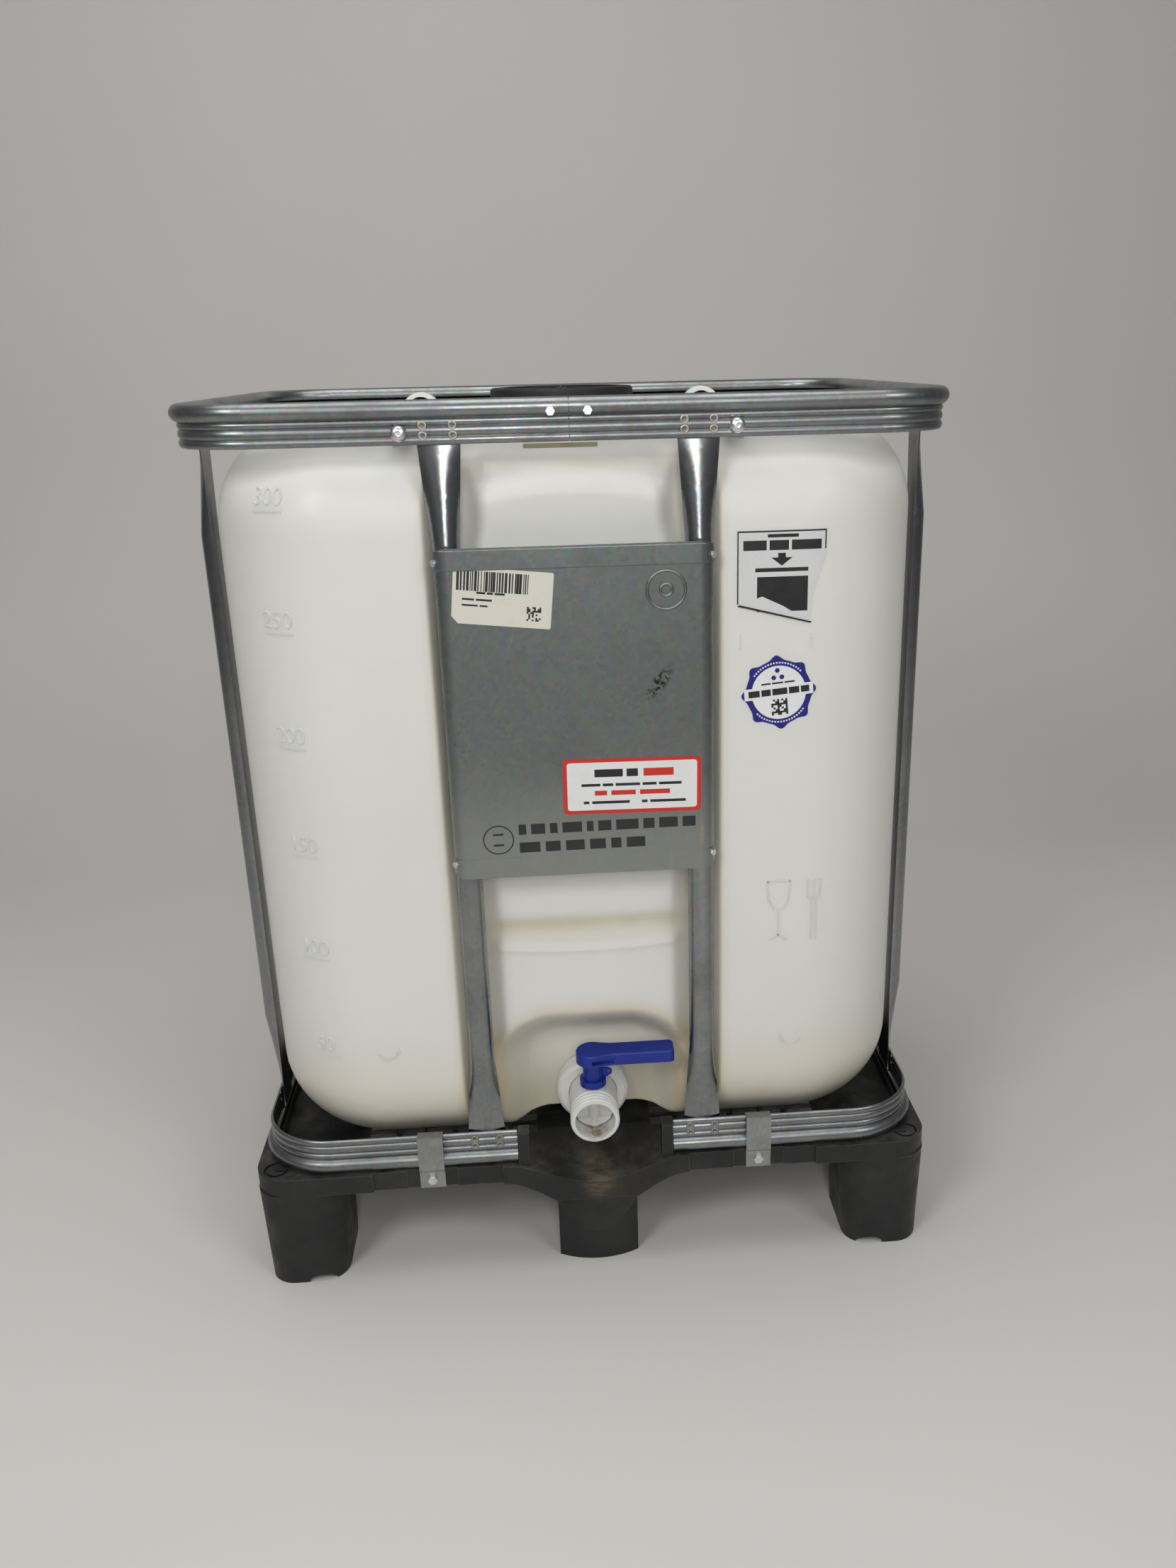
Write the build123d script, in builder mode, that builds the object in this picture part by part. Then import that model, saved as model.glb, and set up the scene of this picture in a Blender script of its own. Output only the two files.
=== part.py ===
"""Intermediate bulk container of 300 litres: a blow-moulded bottle in a steel frame on a moulded pallet.

Millimetres, +X to the right, +Y to the back, +Z up. The origin is on the floor under the middle of the
footprint, and the outlet valve faces -Y.
"""

import os
from math import cos, pi, radians, sin

from build123d import *

os.makedirs("parts", exist_ok=True)

# Driving dimensions: footprint and heights
LENGTH = 800.0  # along X
DEPTH = 600.0  # along Y
DECK_TOP = 147.0
DECK_UNDER = 123.5
TOP_RING_TOP = 1005.7
LID_TOP = 1008.0

# Pallet moulding
DECK_SKIN = 4.5
DECK_CORNER = 38.0
FASCIA_SETBACK = 4.0
FASCIA_HALF = 262.0  # the set-back stretch of each long fascia
RIB = 3.0
POCKET_PITCH_X = 34.5
POCKET_PITCH_Y = 23.8
POCKET_FIRST_X = 69.0
POCKET_FIRST_Y = 159.6
POCKET_COLUMNS = 6
POCKET_ROWS = 3
FOOT_LENGTH = 100.0
FOOT_DEPTH = 130.0
FOOT_DRAFT = 4.0
FOOT_WALL = 6.0
MID_FOOT_HALF = 48.0
MID_FOOT_FRONT = 288.5
MID_FOOT_BACK = 175.0
MID_FOOT_BOW = 12.5  # how far its front bows out between its edges
FOOT_CORNER = 34.0
FOOT_CROSS = 5.0  # ribs inside each foot
NOTCH_X = 333.0  # arched notch in the sole of each corner foot
NOTCH_HALF = 16.0
NOTCH_HEIGHT = 9.0
DRAIN_X = 376.0  # crescent drain groove on each corner
DRAIN_Y = 276.0
DRAIN_RADIUS = 15.0
DRAIN_WIDTH = 4.0

# Drip tray: the deck dips towards the front edge under the valve
TRAY_HALF = 110.0
TRAY_BACK = 225.0
TRAY_DROP = 28.5
APRON_BOTTOM = 95.0

# Upstands between the ends of the bottom ring
BLOCK_INNER = 78.0
BLOCK_OUTER = 91.0
BLOCK_HEIGHT = 40.0
BLOCK_DEPTH = 20.0
BLOCK_Y = -285.5
BLOCK_ROOT = 8.0  # how far the upstand reaches down into the dipped tray

# Roll-formed rings: a curled bead and a band of three ribs
BEAD_RADIUS = 9.0
SHEET = 1.6
RING_X = 386.7  # bead centre line
RING_Y = 286.7
RING_CORNER = 77.0
RIB_CREST = 3.0
RIB_CREASE = 1.2
RIB_LEVELS = (8.2, 15.2, 24.7, 33.0)  # distances from the bead centre to the creases
TOP_BEAD_Z = TOP_RING_TOP - BEAD_RADIUS
BOTTOM_BEAD_Z = DECK_TOP + BEAD_RADIUS
SEAM_GAP = 0.6
RING_END = 92.0  # the bottom ring stops here on each side of the valve

# Posts: half-round tubes with flattened ends
POST_WIDTH = 28.5
POST_DEPTH = 15.5
POST_WALL = 1.5
POST_SIDE = 1.25
POST_BACK_X = 382.0
POST_BACK_Y = 282.0
POST_END_WIDTH = 42.0
POST_END_DEPTH = 3.6
POST_FRONT_X = 127.0
POST_SIDE_Y = 147.0
POST_LOW = BOTTOM_BEAD_Z + 10.0
POST_HIGH = TOP_BEAD_Z - 10.0
POST_TAB = 24.0
POST_TAPER = 95.0
POST_SLIT = 12.0  # the bore closes this far from the tab

# Bottle
BOTTLE_LENGTH = 752.0
BOTTLE_DEPTH = 560.0
BOTTLE_TOP = 983.0
BOTTLE_CORNER = 140.0
BOTTLE_EDGE = 104.0
BOTTLE_WALL = 3.0
CHANNEL_HALF = 150.0
CHANNEL_FACE = 262.0
RECESS_HALF = 118.0
RECESS_TOP = 333.0
RECESS_FACE = 212.0
RECESS_FLOOR = 168.0
NECK_RADIUS = 77.0
NECK_BORE = 73.0
NECK_TOP = 1000.0

# Lid
LID_RADIUS = 83.3
LID_SKIRT_BORE = 78.5
LID_BOTTOM = 985.0
LID_PLATE = 4.0
LID_RIBS = 24
LID_DISH_DEPTH = 2.0
LID_RIM = 16.0

# Valve, with its axis along Y
VALVE_Z = 200.5
BORE = 26.0
BODY_RADIUS = 28.6
MOUTH_Y = -299.0
MOUTH_BORE = 23.5
MOUTH_LIP = 6.0
SPINDLE_Y = -264.0
NECK_FACE_Y = -221.0
OUTLET_NECK_RADIUS = 38.0
GASKET_THICKNESS = 1.5
FLANGE_THICKNESS = 5.5
FLANGE_RADIUS = 36.5
NUT_RADIUS = 43.0
NUT_FRONT_Y = -235.0
NUT_BACK_Y = -213.0
SPINDLE_RADIUS = 6.0
RUNNING_GAP = 0.05
FIT_GAP = 0.02
DISC_RADIUS = 24.6
DISC_THICKNESS = 5.0
DISC_SEAL_GROOVE = 1.5
DISC_HUB_RADIUS = 7.6
LIP_EDGE = 13.0  # the disc's lips start this far from the valve axis
LIP_HALF_DEPTH = 6.5
BOSS_RADIUS = 12.5
SEAL_RADIUS = 9.4  # packing ring round the spindle
SEAL_DEPTH = 3.4
COLLAR_BOTTOM = 231.0
COLLAR_RADIUS = 15.5
COLLAR_HEIGHT = 8.0
STEM_RADIUS = 11.5
LUG_X = 18.5  # eye for a lead seal, beside the stem
LUG_Z = 246.0
LUG_RADIUS = 4.2
HANDLE_HUB = 19.0
HANDLE_NECK_X = 22.0  # the lever blade narrows to its own width here
HANDLE_BOTTOM = 261.7
HANDLE_TOP = 276.5
HANDLE_END = 96.0
HANDLE_HALF_DEPTH = 14.0

# Frame fasteners and trim
CROSSBAR_X = 164.0
CROSSBAR_WIDTH = 14.0
CROSSBAR_THICKNESS = 4.0
CROSSBAR_FACE_Y = 286.2
CROSSBAR_LOW = 961.5
LOOP_RADIUS = 22.0
LOOP_THICKNESS = 5.0
LOOP_DEPTH = 20.0
BOLT_HEAD_RADIUS = 8.0
BOLT_Z = 975.0
CLIP_X = 193.0
CLIP_WIDTH = 29.5
CLIP_SHEET = 1.5
CLIP_BOTTOM = 122.5
CLIP_SCREW_Z = 134.0
CLIP_FASCIA = 7.3  # fascia under a clip, outward from the bead centre line
RING_SCREW_X = 18.0
RING_SCREW_Z = 992.5
PLATE_LOW = 513.0
PLATE_HIGH = 865.0
PLATE_SHEET = 0.8
PLATE_ROLL = 22.0
PLATE_WRAP = 62.0  # degrees that the plate's sides turn round the posts
PLATE_SCREW_ANGLE = 47.0
PLATE_SCREW_HEIGHTS = (529.0, 851.0)
PLATE_ROLL_RISE = 1.4


def save(builder, name):
    """Label one finished piece and write it."""
    builder.part.label = name
    export_step(builder.part, "parts/" + name + ".step")


FRONT = (0.0, -1.0)
BACK = (0.0, 1.0)
LEFT = (-1.0, 0.0)
RIGHT = (1.0, 0.0)


def face_plane(x, y, z, outward):
    """Plane on an upright face, seen from outside, with its Y axis up."""
    return Plane(origin=(x, y, z), x_dir=(-outward[1], outward[0], 0), z_dir=(outward[0], outward[1], 0))


# Six clips hold the bottom ring down; each plane lies on the bead's centre line and faces outward
clip_planes = [
    face_plane(-CLIP_X, -RING_Y, 0, FRONT),
    face_plane(CLIP_X, -RING_Y, 0, FRONT),
    face_plane(-CLIP_X, RING_Y, 0, BACK),
    face_plane(CLIP_X, RING_Y, 0, BACK),
    face_plane(-RING_X, 0, 0, LEFT),
    face_plane(RING_X, 0, 0, RIGHT),
]


# ---------------------------------------------------------------- pallet
def foot_section(height, length, depth, corner):
    """One level of a corner foot, square to the deck's own corner."""
    with BuildSketch(Plane.XY.offset(height)) as section:
        RectangleRounded(length, depth, corner)
    return section.sketch


def corner_foot(inset, low, high):
    """Tapered foot about its own middle, or its cavity when inset."""
    length = FOOT_LENGTH - 2 * inset
    depth = FOOT_DEPTH - 2 * inset
    sole_corner = FOOT_CORNER - FOOT_DRAFT - inset
    sole = foot_section(low, length - 2 * FOOT_DRAFT, depth - 2 * FOOT_DRAFT, sole_corner)
    head = foot_section(high, length, depth, FOOT_CORNER - inset)
    with BuildPart() as foot:
        loft(sections=[sole, head])
    return foot.part


def mid_foot(inset, low, high):
    """The foot under the valve, with a bowed front."""
    half = MID_FOOT_HALF - inset
    front = MID_FOOT_FRONT - inset
    shoulder = front - MID_FOOT_BOW
    back = MID_FOOT_BACK + inset
    with BuildPart() as foot:
        with BuildSketch(Plane.XY.offset(low)):
            with BuildLine():
                ThreePointArc((-half, -shoulder), (0, -front), (half, -shoulder))
                Polyline((half, -shoulder), (half, -back), (-half, -back), (-half, -shoulder))
            make_face()
        extrude(amount=high - low)
    return foot.part


def valley(plane, drop, top):
    """Closed face between the tray's dip and a level line above the deck."""
    steps = [TRAY_HALF * (i / 6.0 - 1.0) for i in range(13)]
    dip = [(x, DECK_TOP - drop * 0.5 * (1 + cos(pi * x / TRAY_HALF))) for x in steps]
    with BuildSketch(plane) as face:
        with BuildLine():
            Spline(*dip, tangents=((1, 0), (1, 0)))
            Polyline(dip[-1], (TRAY_HALF, top), (-TRAY_HALF, top), dip[0])
        make_face()
    return face.sketch


foot_x = LENGTH / 2 - FOOT_LENGTH / 2
foot_y = DEPTH / 2 - FOOT_DEPTH / 2
corner_places = [(x, y, 0) for x in (-foot_x, foot_x) for y in (-foot_y, foot_y)]
corner_solid = corner_foot(0, 0, DECK_UNDER + 1)
corner_cavity = corner_foot(FOOT_WALL, -1, DECK_TOP - DECK_SKIN)
mid_solid = mid_foot(0, 0, DECK_UNDER + 1)
mid_cavity = mid_foot(FOOT_WALL, -1, DECK_UNDER - FOOT_WALL)
tray_front = valley(Plane.XZ.offset(DEPTH / 2 + 1), TRAY_DROP, DECK_TOP + 9)
tray_back = valley(Plane.XZ.offset(TRAY_BACK), 0.2, DECK_TOP + 9)
pocket_middle_x = POCKET_FIRST_X + POCKET_PITCH_X * POCKET_COLUMNS / 2
pocket_middle_y = POCKET_FIRST_Y + POCKET_PITCH_Y * POCKET_ROWS / 2

with BuildPart() as pallet:
    with BuildSketch(Plane.XY.offset(DECK_UNDER)):
        RectangleRounded(LENGTH, DEPTH, DECK_CORNER)
    extrude(amount=DECK_TOP - DECK_UNDER)
    # set-back fascia between the corners, deeper again where a clip is screwed on
    for side in (-1, 1):
        for half, setback, middle in (
            (FASCIA_HALF, FASCIA_SETBACK, 0.0),
            (CLIP_WIDTH, FASCIA_SETBACK + 2.0, CLIP_X),
            (CLIP_WIDTH, FASCIA_SETBACK + 2.0, -CLIP_X),
        ):
            with BuildSketch(Plane.XY.offset(DECK_UNDER)):
                with Locations((middle, side * DEPTH / 2)):
                    Rectangle(2 * half, 2 * setback)
            extrude(amount=DECK_TOP - DECK_UNDER, mode=Mode.SUBTRACT)
        with BuildSketch(Plane.XY.offset(DECK_UNDER)):
            with Locations((side * LENGTH / 2, 0)):
                Rectangle(2 * (FASCIA_SETBACK + 2.0), 2 * CLIP_WIDTH)
        extrude(amount=DECK_TOP - DECK_UNDER, mode=Mode.SUBTRACT)
    # open cells under the skin
    with BuildSketch(Plane.XY.offset(DECK_UNDER)):
        with GridLocations(2 * POCKET_PITCH_X, 3 * POCKET_PITCH_Y, 11, 8):
            Rectangle(2 * POCKET_PITCH_X - RIB, 3 * POCKET_PITCH_Y - RIB)
    extrude(amount=DECK_TOP - DECK_UNDER - DECK_SKIN, mode=Mode.SUBTRACT)
    # apron, gusset and dipped tray under the valve
    with BuildSketch(Plane.XZ.offset(TRAY_BACK - 5)):
        with BuildLine():
            Polyline(
                (-TRAY_HALF, DECK_UNDER), (-TRAY_HALF, DECK_TOP),
                (TRAY_HALF, DECK_TOP), (TRAY_HALF, DECK_UNDER),
            )
            Spline(
                (TRAY_HALF, DECK_UNDER), (88, 119), (60, 103), (MID_FOOT_HALF, APRON_BOTTOM),
                tangents=((-1, 0), (-1, -0.5)),
            )
            Line((MID_FOOT_HALF, APRON_BOTTOM), (-MID_FOOT_HALF, APRON_BOTTOM))
            Spline(
                (-MID_FOOT_HALF, APRON_BOTTOM), (-60, 103), (-88, 119), (-TRAY_HALF, DECK_UNDER),
                tangents=((-1, 0.5), (-1, 0)),
            )
        make_face()
    extrude(amount=DEPTH / 2 - TRAY_BACK + 5)
    for level, half, nose in ((APRON_BOTTOM + 3, 58.0, 300.0), (44.0, 24.0, 291.0)):
        with BuildSketch(Plane.XY.offset(level)):
            with BuildLine():
                ThreePointArc((-half, -284), (0, -nose), (half, -284))
                Polyline((half, -284), (half, -268), (-half, -268), (-half, -284))
            make_face()
    loft()
    loft(sections=[tray_back, tray_front], ruled=True, mode=Mode.SUBTRACT)
    # feet
    for place in corner_places:
        add(corner_solid.moved(Location(place)))
    add(mid_solid)
    add(mid_solid.rotate(Axis.Z, 180))
    for place in corner_places:
        add(corner_cavity.moved(Location(place)), mode=Mode.SUBTRACT)
    add(mid_cavity, mode=Mode.SUBTRACT)
    add(mid_cavity.rotate(Axis.Z, 180), mode=Mode.SUBTRACT)
    for place in corner_places + [(0, -232, 0), (0, 232, 0)]:
        with BuildSketch(Plane.XY):
            with Locations(place[:2]):
                Rectangle(FOOT_LENGTH - 2 * FOOT_WALL, FOOT_CROSS)
                Rectangle(FOOT_CROSS, FOOT_LENGTH)
        extrude(amount=DECK_UNDER - FOOT_WALL)
    # arched notch at the inner front corner of each corner foot
    for side in (-1, 1):
        with BuildSketch(Plane.XZ.offset(DEPTH / 2 + 1)):
            with Locations((side * NOTCH_X, 0)):
                Ellipse(NOTCH_HALF, NOTCH_HEIGHT)
        extrude(amount=-14, mode=Mode.SUBTRACT)
    # open square pockets through the deck
    with BuildSketch(Plane.XY.offset(DECK_UNDER - 0.5)):
        for side_x in (-1, 1):
            for side_y in (-1, 1):
                with Locations((side_x * pocket_middle_x, side_y * pocket_middle_y)):
                    with GridLocations(POCKET_PITCH_X, POCKET_PITCH_Y, POCKET_COLUMNS, POCKET_ROWS):
                        Rectangle(POCKET_PITCH_X - RIB, POCKET_PITCH_Y - RIB)
    extrude(amount=DECK_TOP - DECK_UNDER + 1, mode=Mode.SUBTRACT)
    # crescent drain groove on each corner
    for side_x in (-1, 1):
        for side_y in (-1, 1):
            with BuildSketch(Plane.XY.offset(DECK_TOP - 3)):
                with Locations((side_x * DRAIN_X, side_y * DRAIN_Y)):
                    Circle(DRAIN_RADIUS)
                    Circle(DRAIN_RADIUS - DRAIN_WIDTH, mode=Mode.SUBTRACT)
                with Locations((side_x * (DRAIN_X - 10), side_y * (DRAIN_Y - 10))):
                    Rectangle(18, 18, mode=Mode.SUBTRACT)
                with Locations((side_x * (DRAIN_X - 4), side_y * (DRAIN_Y + 3))):
                    SlotOverall(12, 3)
            extrude(amount=4, mode=Mode.SUBTRACT)
    # upstands that close the ends of the bottom ring
    with BuildSketch(Plane.XY.offset(DECK_TOP - BLOCK_ROOT)):
        for side in (-1, 1):
            with Locations((side * (BLOCK_INNER + BLOCK_OUTER) / 2, BLOCK_Y)):
                Rectangle(BLOCK_OUTER - BLOCK_INNER, BLOCK_DEPTH)
    extrude(amount=BLOCK_HEIGHT + BLOCK_ROOT)
    # pilot holes for the clip screws
    for plane in clip_planes:
        with BuildSketch(plane.offset(CLIP_FASCIA)):
            with Locations((0, CLIP_SCREW_Z)):
                Circle(2.6)
        extrude(amount=-15, mode=Mode.SUBTRACT)
save(pallet, "pallet")


# ---------------------------------------------------------------- rings
def ring_section(plane, direction):
    """Curled bead with the ribbed band on one side of it: direction is -1 for a band below."""
    creases = [direction * level for level in RIB_LEVELS]
    with BuildSketch(plane) as section:
        Circle(BEAD_RADIUS)
        Circle(BEAD_RADIUS - SHEET, mode=Mode.SUBTRACT)
        with Locations(Location((-6.2, direction * 5.6), direction * 42)):
            Rectangle(5.0, 3.0, mode=Mode.SUBTRACT)
        with BuildLine():
            for low, high in zip(creases, creases[1:]):
                middle = (low + high) / 2
                for crease, crest in ((RIB_CREASE, RIB_CREST), (RIB_CREASE - SHEET, RIB_CREST - SHEET)):
                    ThreePointArc((crease, low), (crest, middle), (crease, high))
            for level in (creases[0], creases[-1]):
                Line((RIB_CREASE, level), (RIB_CREASE - SHEET, level))
        make_face()
    return section.sketch


def ring(height, direction, gap):
    """One ring swept round the footprint, open by gap on each side of the front middle."""
    start = (gap, -RING_Y)
    end = (-gap, -RING_Y)
    corners = ((RING_X, -RING_Y), (RING_X, RING_Y), (-RING_X, RING_Y), (-RING_X, -RING_Y))
    end_plane = Plane(origin=(gap, -RING_Y, height), x_dir=(0, -1, 0), z_dir=(-1, 0, 0))
    section = ring_section(end_plane, direction)
    with BuildPart() as swept:
        with BuildLine(Plane.XY.offset(height)) as path:
            FilletPolyline(start, *corners, end, radius=RING_CORNER)
        sweep(sections=section, path=path.line)
    return swept.part


def front_hole(x, z, radius, start, length):
    """Round cut along +Y from the front."""
    with BuildSketch(Plane.XZ.offset(-start)) as circle:
        with Locations((x, z)):
            Circle(radius)
    extrude(circle.sketch, amount=-length, mode=Mode.SUBTRACT)


top_ring_sheet = ring(TOP_BEAD_Z, -1, SEAM_GAP / 2)
bottom_ring_sheet = ring(BOTTOM_BEAD_Z, 1, RING_END)

with BuildPart() as top_ring:
    add(top_ring_sheet)
    for x in (-RING_SCREW_X, RING_SCREW_X):
        front_hole(x, RING_SCREW_Z, 2.6, -300, 25)
    for x in (-CROSSBAR_X, CROSSBAR_X):
        front_hole(x, BOLT_Z, 4.2, -300, 600)
save(top_ring, "top_ring")

with BuildPart() as bottom_ring:
    add(bottom_ring_sheet)
save(bottom_ring, "bottom_ring")

with BuildPart() as ring_joiner:
    with BuildSketch(Plane.YZ.offset(-45)):
        with Locations((-RING_Y, TOP_BEAD_Z)):
            Circle(BEAD_RADIUS - SHEET - 0.3)
    extrude(amount=90)
    chamfer(ring_joiner.edges().group_by(Axis.X)[0], 1.0)
    chamfer(ring_joiner.edges().group_by(Axis.X)[-1], 1.0)
    for x in (-RING_SCREW_X, RING_SCREW_X):
        front_hole(x, RING_SCREW_Z, 2.55, -300, 25)
save(ring_joiner, "ring_joiner")


def hex_screw(plane, shank_radius, length, flats, head):
    """Hexagon-headed screw whose head stands on the plane and whose shank runs into it."""
    with BuildSketch(plane) as hexagon:
        RegularPolygon(flats / 2, 6, major_radius=False)
    extrude(hexagon.sketch, amount=head)
    with BuildSketch(plane.offset(head)) as crown:
        Circle(flats * 0.42)
    extrude(crown.sketch, amount=0.4)
    with BuildSketch(plane) as shank:
        Circle(shank_radius)
    extrude(shank.sketch, amount=-length)


with BuildPart() as ring_screws:
    for x in (-RING_SCREW_X, RING_SCREW_X):
        hex_screw(face_plane(x, -RING_Y - BEAD_RADIUS - 0.1, RING_SCREW_Z, FRONT), 2.5, 12, 8.0, 3.4)
save(ring_screws, "ring_screws")


# ------------------------------------------------------------ posts and the places of the plate's screws
WRAP_CENTRE_Y = -POST_BACK_Y - POST_SIDE  # the plate's sides turn about the front posts' own centres
PLATE_INNER = POST_WIDTH / 2 + 0.2
PLATE_OUTER = PLATE_INNER + PLATE_SHEET


def plate_screw_plane(side, z, radius):
    """Plane square to the wrapped edge of the plate, at a distance from the post's centre."""
    turn = radians(PLATE_SCREW_ANGLE)
    outward = (side * sin(turn), -cos(turn))
    x = side * POST_FRONT_X + outward[0] * radius
    return face_plane(x, WRAP_CENTRE_Y + outward[1] * radius, z, outward)


def drill_plate_screws(x):
    """Holes for the two plate screws of the post at x."""
    side = 1 if x > 0 else -1
    for z in PLATE_SCREW_HEIGHTS:
        with BuildSketch(plate_screw_plane(side, z, PLATE_OUTER + 3)) as hole:
            Circle(2.1)
        extrude(hole.sketch, amount=-12, mode=Mode.SUBTRACT)


def post_level(plane, width, depth, side):
    """Half-round section with a flat back, the back on the plane's X axis."""
    with BuildSketch(plane) as section:
        with BuildLine():
            Polyline((-width / 2, side), (-width / 2, 0), (width / 2, 0), (width / 2, side))
            ThreePointArc((width / 2, side), (0, depth), (-width / 2, side))
        make_face()
    return section.sketch


def post(name, x, y, outward):
    """Vertical half-round tube that flattens into a welded tab at each end."""
    foot = Plane(origin=(x, y, 0), x_dir=(outward[1], -outward[0], 0), z_dir=(0, 0, 1))
    inner_origin = (x + outward[0] * POST_WALL, y + outward[1] * POST_WALL, 0)
    inner = Plane(origin=inner_origin, x_dir=foot.x_dir, z_dir=(0, 0, 1))
    round_low = POST_LOW + POST_TAB + POST_TAPER
    round_high = POST_HIGH - POST_TAB - POST_TAPER
    bore_width = POST_WIDTH - 2 * POST_WALL
    bore_depth = POST_DEPTH - 2 * POST_WALL
    with BuildPart() as tube:
        tube_section = post_level(foot.offset(round_low), POST_WIDTH, POST_DEPTH, POST_SIDE)
        extrude(tube_section, amount=round_high - round_low)
        for tab_end, tab_start, round_start in (
            (POST_LOW, POST_LOW + POST_TAB, round_low),
            (POST_HIGH, POST_HIGH - POST_TAB, round_high),
        ):
            tab_plane = foot.offset(min(tab_end, tab_start))
            tab = post_level(tab_plane, POST_END_WIDTH, POST_END_DEPTH, POST_SIDE)
            extrude(tab, amount=POST_TAB)
            flat = post_level(foot.offset(tab_start), POST_END_WIDTH, POST_END_DEPTH, POST_SIDE)
            full = post_level(foot.offset(round_start), POST_WIDTH, POST_DEPTH, POST_SIDE)
            loft(sections=[flat, full])
        bore = post_level(inner.offset(round_low), bore_width, bore_depth, 0.6)
        extrude(bore, amount=round_high - round_low, mode=Mode.SUBTRACT)
        for slit_start, round_start in (
            (POST_LOW + POST_TAB + POST_SLIT, round_low),
            (POST_HIGH - POST_TAB - POST_SLIT, round_high),
        ):
            slit = post_level(inner.offset(slit_start), POST_END_WIDTH - 8 * POST_WALL, 1.6, 0.4)
            mouth = post_level(inner.offset(round_start), bore_width, bore_depth, 0.6)
            loft(sections=[slit, mouth], mode=Mode.SUBTRACT)
        if outward == FRONT:
            drill_plate_screws(x)
    save(tube, name)


for name, x, y, outward in (
    ("post_front_left", -POST_FRONT_X, -POST_BACK_Y, FRONT),
    ("post_front_right", POST_FRONT_X, -POST_BACK_Y, FRONT),
    ("post_rear_left", -POST_FRONT_X, POST_BACK_Y, BACK),
    ("post_rear_right", POST_FRONT_X, POST_BACK_Y, BACK),
    ("post_left_front", -POST_BACK_X, -POST_SIDE_Y, LEFT),
    ("post_left_rear", -POST_BACK_X, POST_SIDE_Y, LEFT),
    ("post_right_front", POST_BACK_X, -POST_SIDE_Y, RIGHT),
    ("post_right_rear", POST_BACK_X, POST_SIDE_Y, RIGHT),
):
    post(name, x, y, outward)


# ---------------------------------------------------------------- bottle
def bottle_volume(inset):
    """The bottle's outside, or its inside when inset by the wall."""
    low = DECK_TOP + inset
    high = BOTTLE_TOP - inset
    with BuildPart() as volume:
        with BuildSketch(Plane.XY.offset(low)):
            RectangleRounded(BOTTLE_LENGTH - 2 * inset, BOTTLE_DEPTH - 2 * inset, BOTTLE_CORNER - inset)
        extrude(amount=high - low)
        rims = volume.edges().group_by(Axis.Z)
        fillet(rims[0] + rims[-1], BOTTLE_EDGE - inset)
        # upright channel behind the front and the rear posts
        for side in (-1, 1):
            with BuildSketch(Plane.XY.offset(low - 1)):
                with Locations((0, side * (CHANNEL_FACE - inset + 40))):
                    RectangleRounded(2 * (CHANNEL_HALF + inset), 80, 15)
            extrude(amount=high - low + 2, mode=Mode.SUBTRACT)
        # recess for the valve, open to the front and below
        with BuildSketch(Plane.XZ.offset(RECESS_FACE - inset)):
            with Locations((0, RECESS_TOP + inset - 120)):
                RectangleRounded(2 * (RECESS_HALF + inset), 240, 60)
        extrude(amount=90, mode=Mode.SUBTRACT)
        with BuildSketch(Plane.XY.offset(low - 1)):
            with Locations((0, -215)):
                RectangleRounded(2 * (RECESS_HALF + inset), 150 + 2 * inset, 30)
        extrude(amount=RECESS_FLOOR - DECK_TOP + 1, mode=Mode.SUBTRACT)
    return volume.part


bottle_outside = bottle_volume(0)
bottle_inside = bottle_volume(BOTTLE_WALL)

with BuildPart() as bottle:
    add(bottle_outside)
    with BuildSketch(Plane.XY.offset(BOTTLE_TOP - 5)):
        Circle(NECK_RADIUS)
    extrude(amount=NECK_TOP - BOTTLE_TOP + 5)
    with BuildSketch(Plane.XZ.offset(RECESS_FACE - 4)):
        with Locations((0, VALVE_Z)):
            Circle(OUTLET_NECK_RADIUS)
    extrude(amount=-NECK_FACE_Y - RECESS_FACE + 4)
    add(bottle_inside, mode=Mode.SUBTRACT)
    with BuildSketch(Plane.XY.offset(BOTTLE_TOP - 20)):
        Circle(NECK_BORE)
    extrude(amount=NECK_TOP - BOTTLE_TOP + 21, mode=Mode.SUBTRACT)
    with BuildSketch(Plane.XZ.offset(RECESS_FACE - 20)):
        with Locations((0, VALVE_Z)):
            Circle(BORE)
    extrude(amount=40, mode=Mode.SUBTRACT)
save(bottle, "bottle")

# ---------------------------------------------------------------- lid
with BuildPart() as lid:
    with BuildSketch(Plane.XY.offset(LID_BOTTOM)):
        Circle(LID_RADIUS)
    extrude(amount=LID_TOP - LID_BOTTOM)
    fillet(lid.edges().group_by(Axis.Z)[-1], 4.0)
    with BuildSketch(Plane.XY.offset(LID_BOTTOM)):
        Circle(LID_SKIRT_BORE)
    extrude(amount=LID_TOP - LID_BOTTOM - LID_PLATE, mode=Mode.SUBTRACT)
    # dished top inside a raised rim
    with BuildSketch(Plane.XY.offset(LID_TOP - LID_DISH_DEPTH)):
        Circle(LID_RADIUS - LID_RIM)
    extrude(amount=LID_DISH_DEPTH + 1, mode=Mode.SUBTRACT)
    # stiffening ribs in the dish
    with BuildSketch(Plane.XY.offset(LID_TOP - LID_DISH_DEPTH - 0.5)):
        with PolarLocations((LID_RADIUS - LID_RIM) * 0.62, LID_RIBS // 2):
            Rectangle((LID_RADIUS - LID_RIM) * 0.78, 3)
    extrude(amount=LID_DISH_DEPTH)
    # grip grooves round the skirt
    with BuildSketch(Plane.XY.offset(LID_BOTTOM)):
        with PolarLocations(LID_RADIUS + 1.2, LID_RIBS):
            SlotOverall(7, 4, rotation=90)
    extrude(amount=LID_TOP - LID_BOTTOM - 7, mode=Mode.SUBTRACT)
save(lid, "lid")

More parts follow.
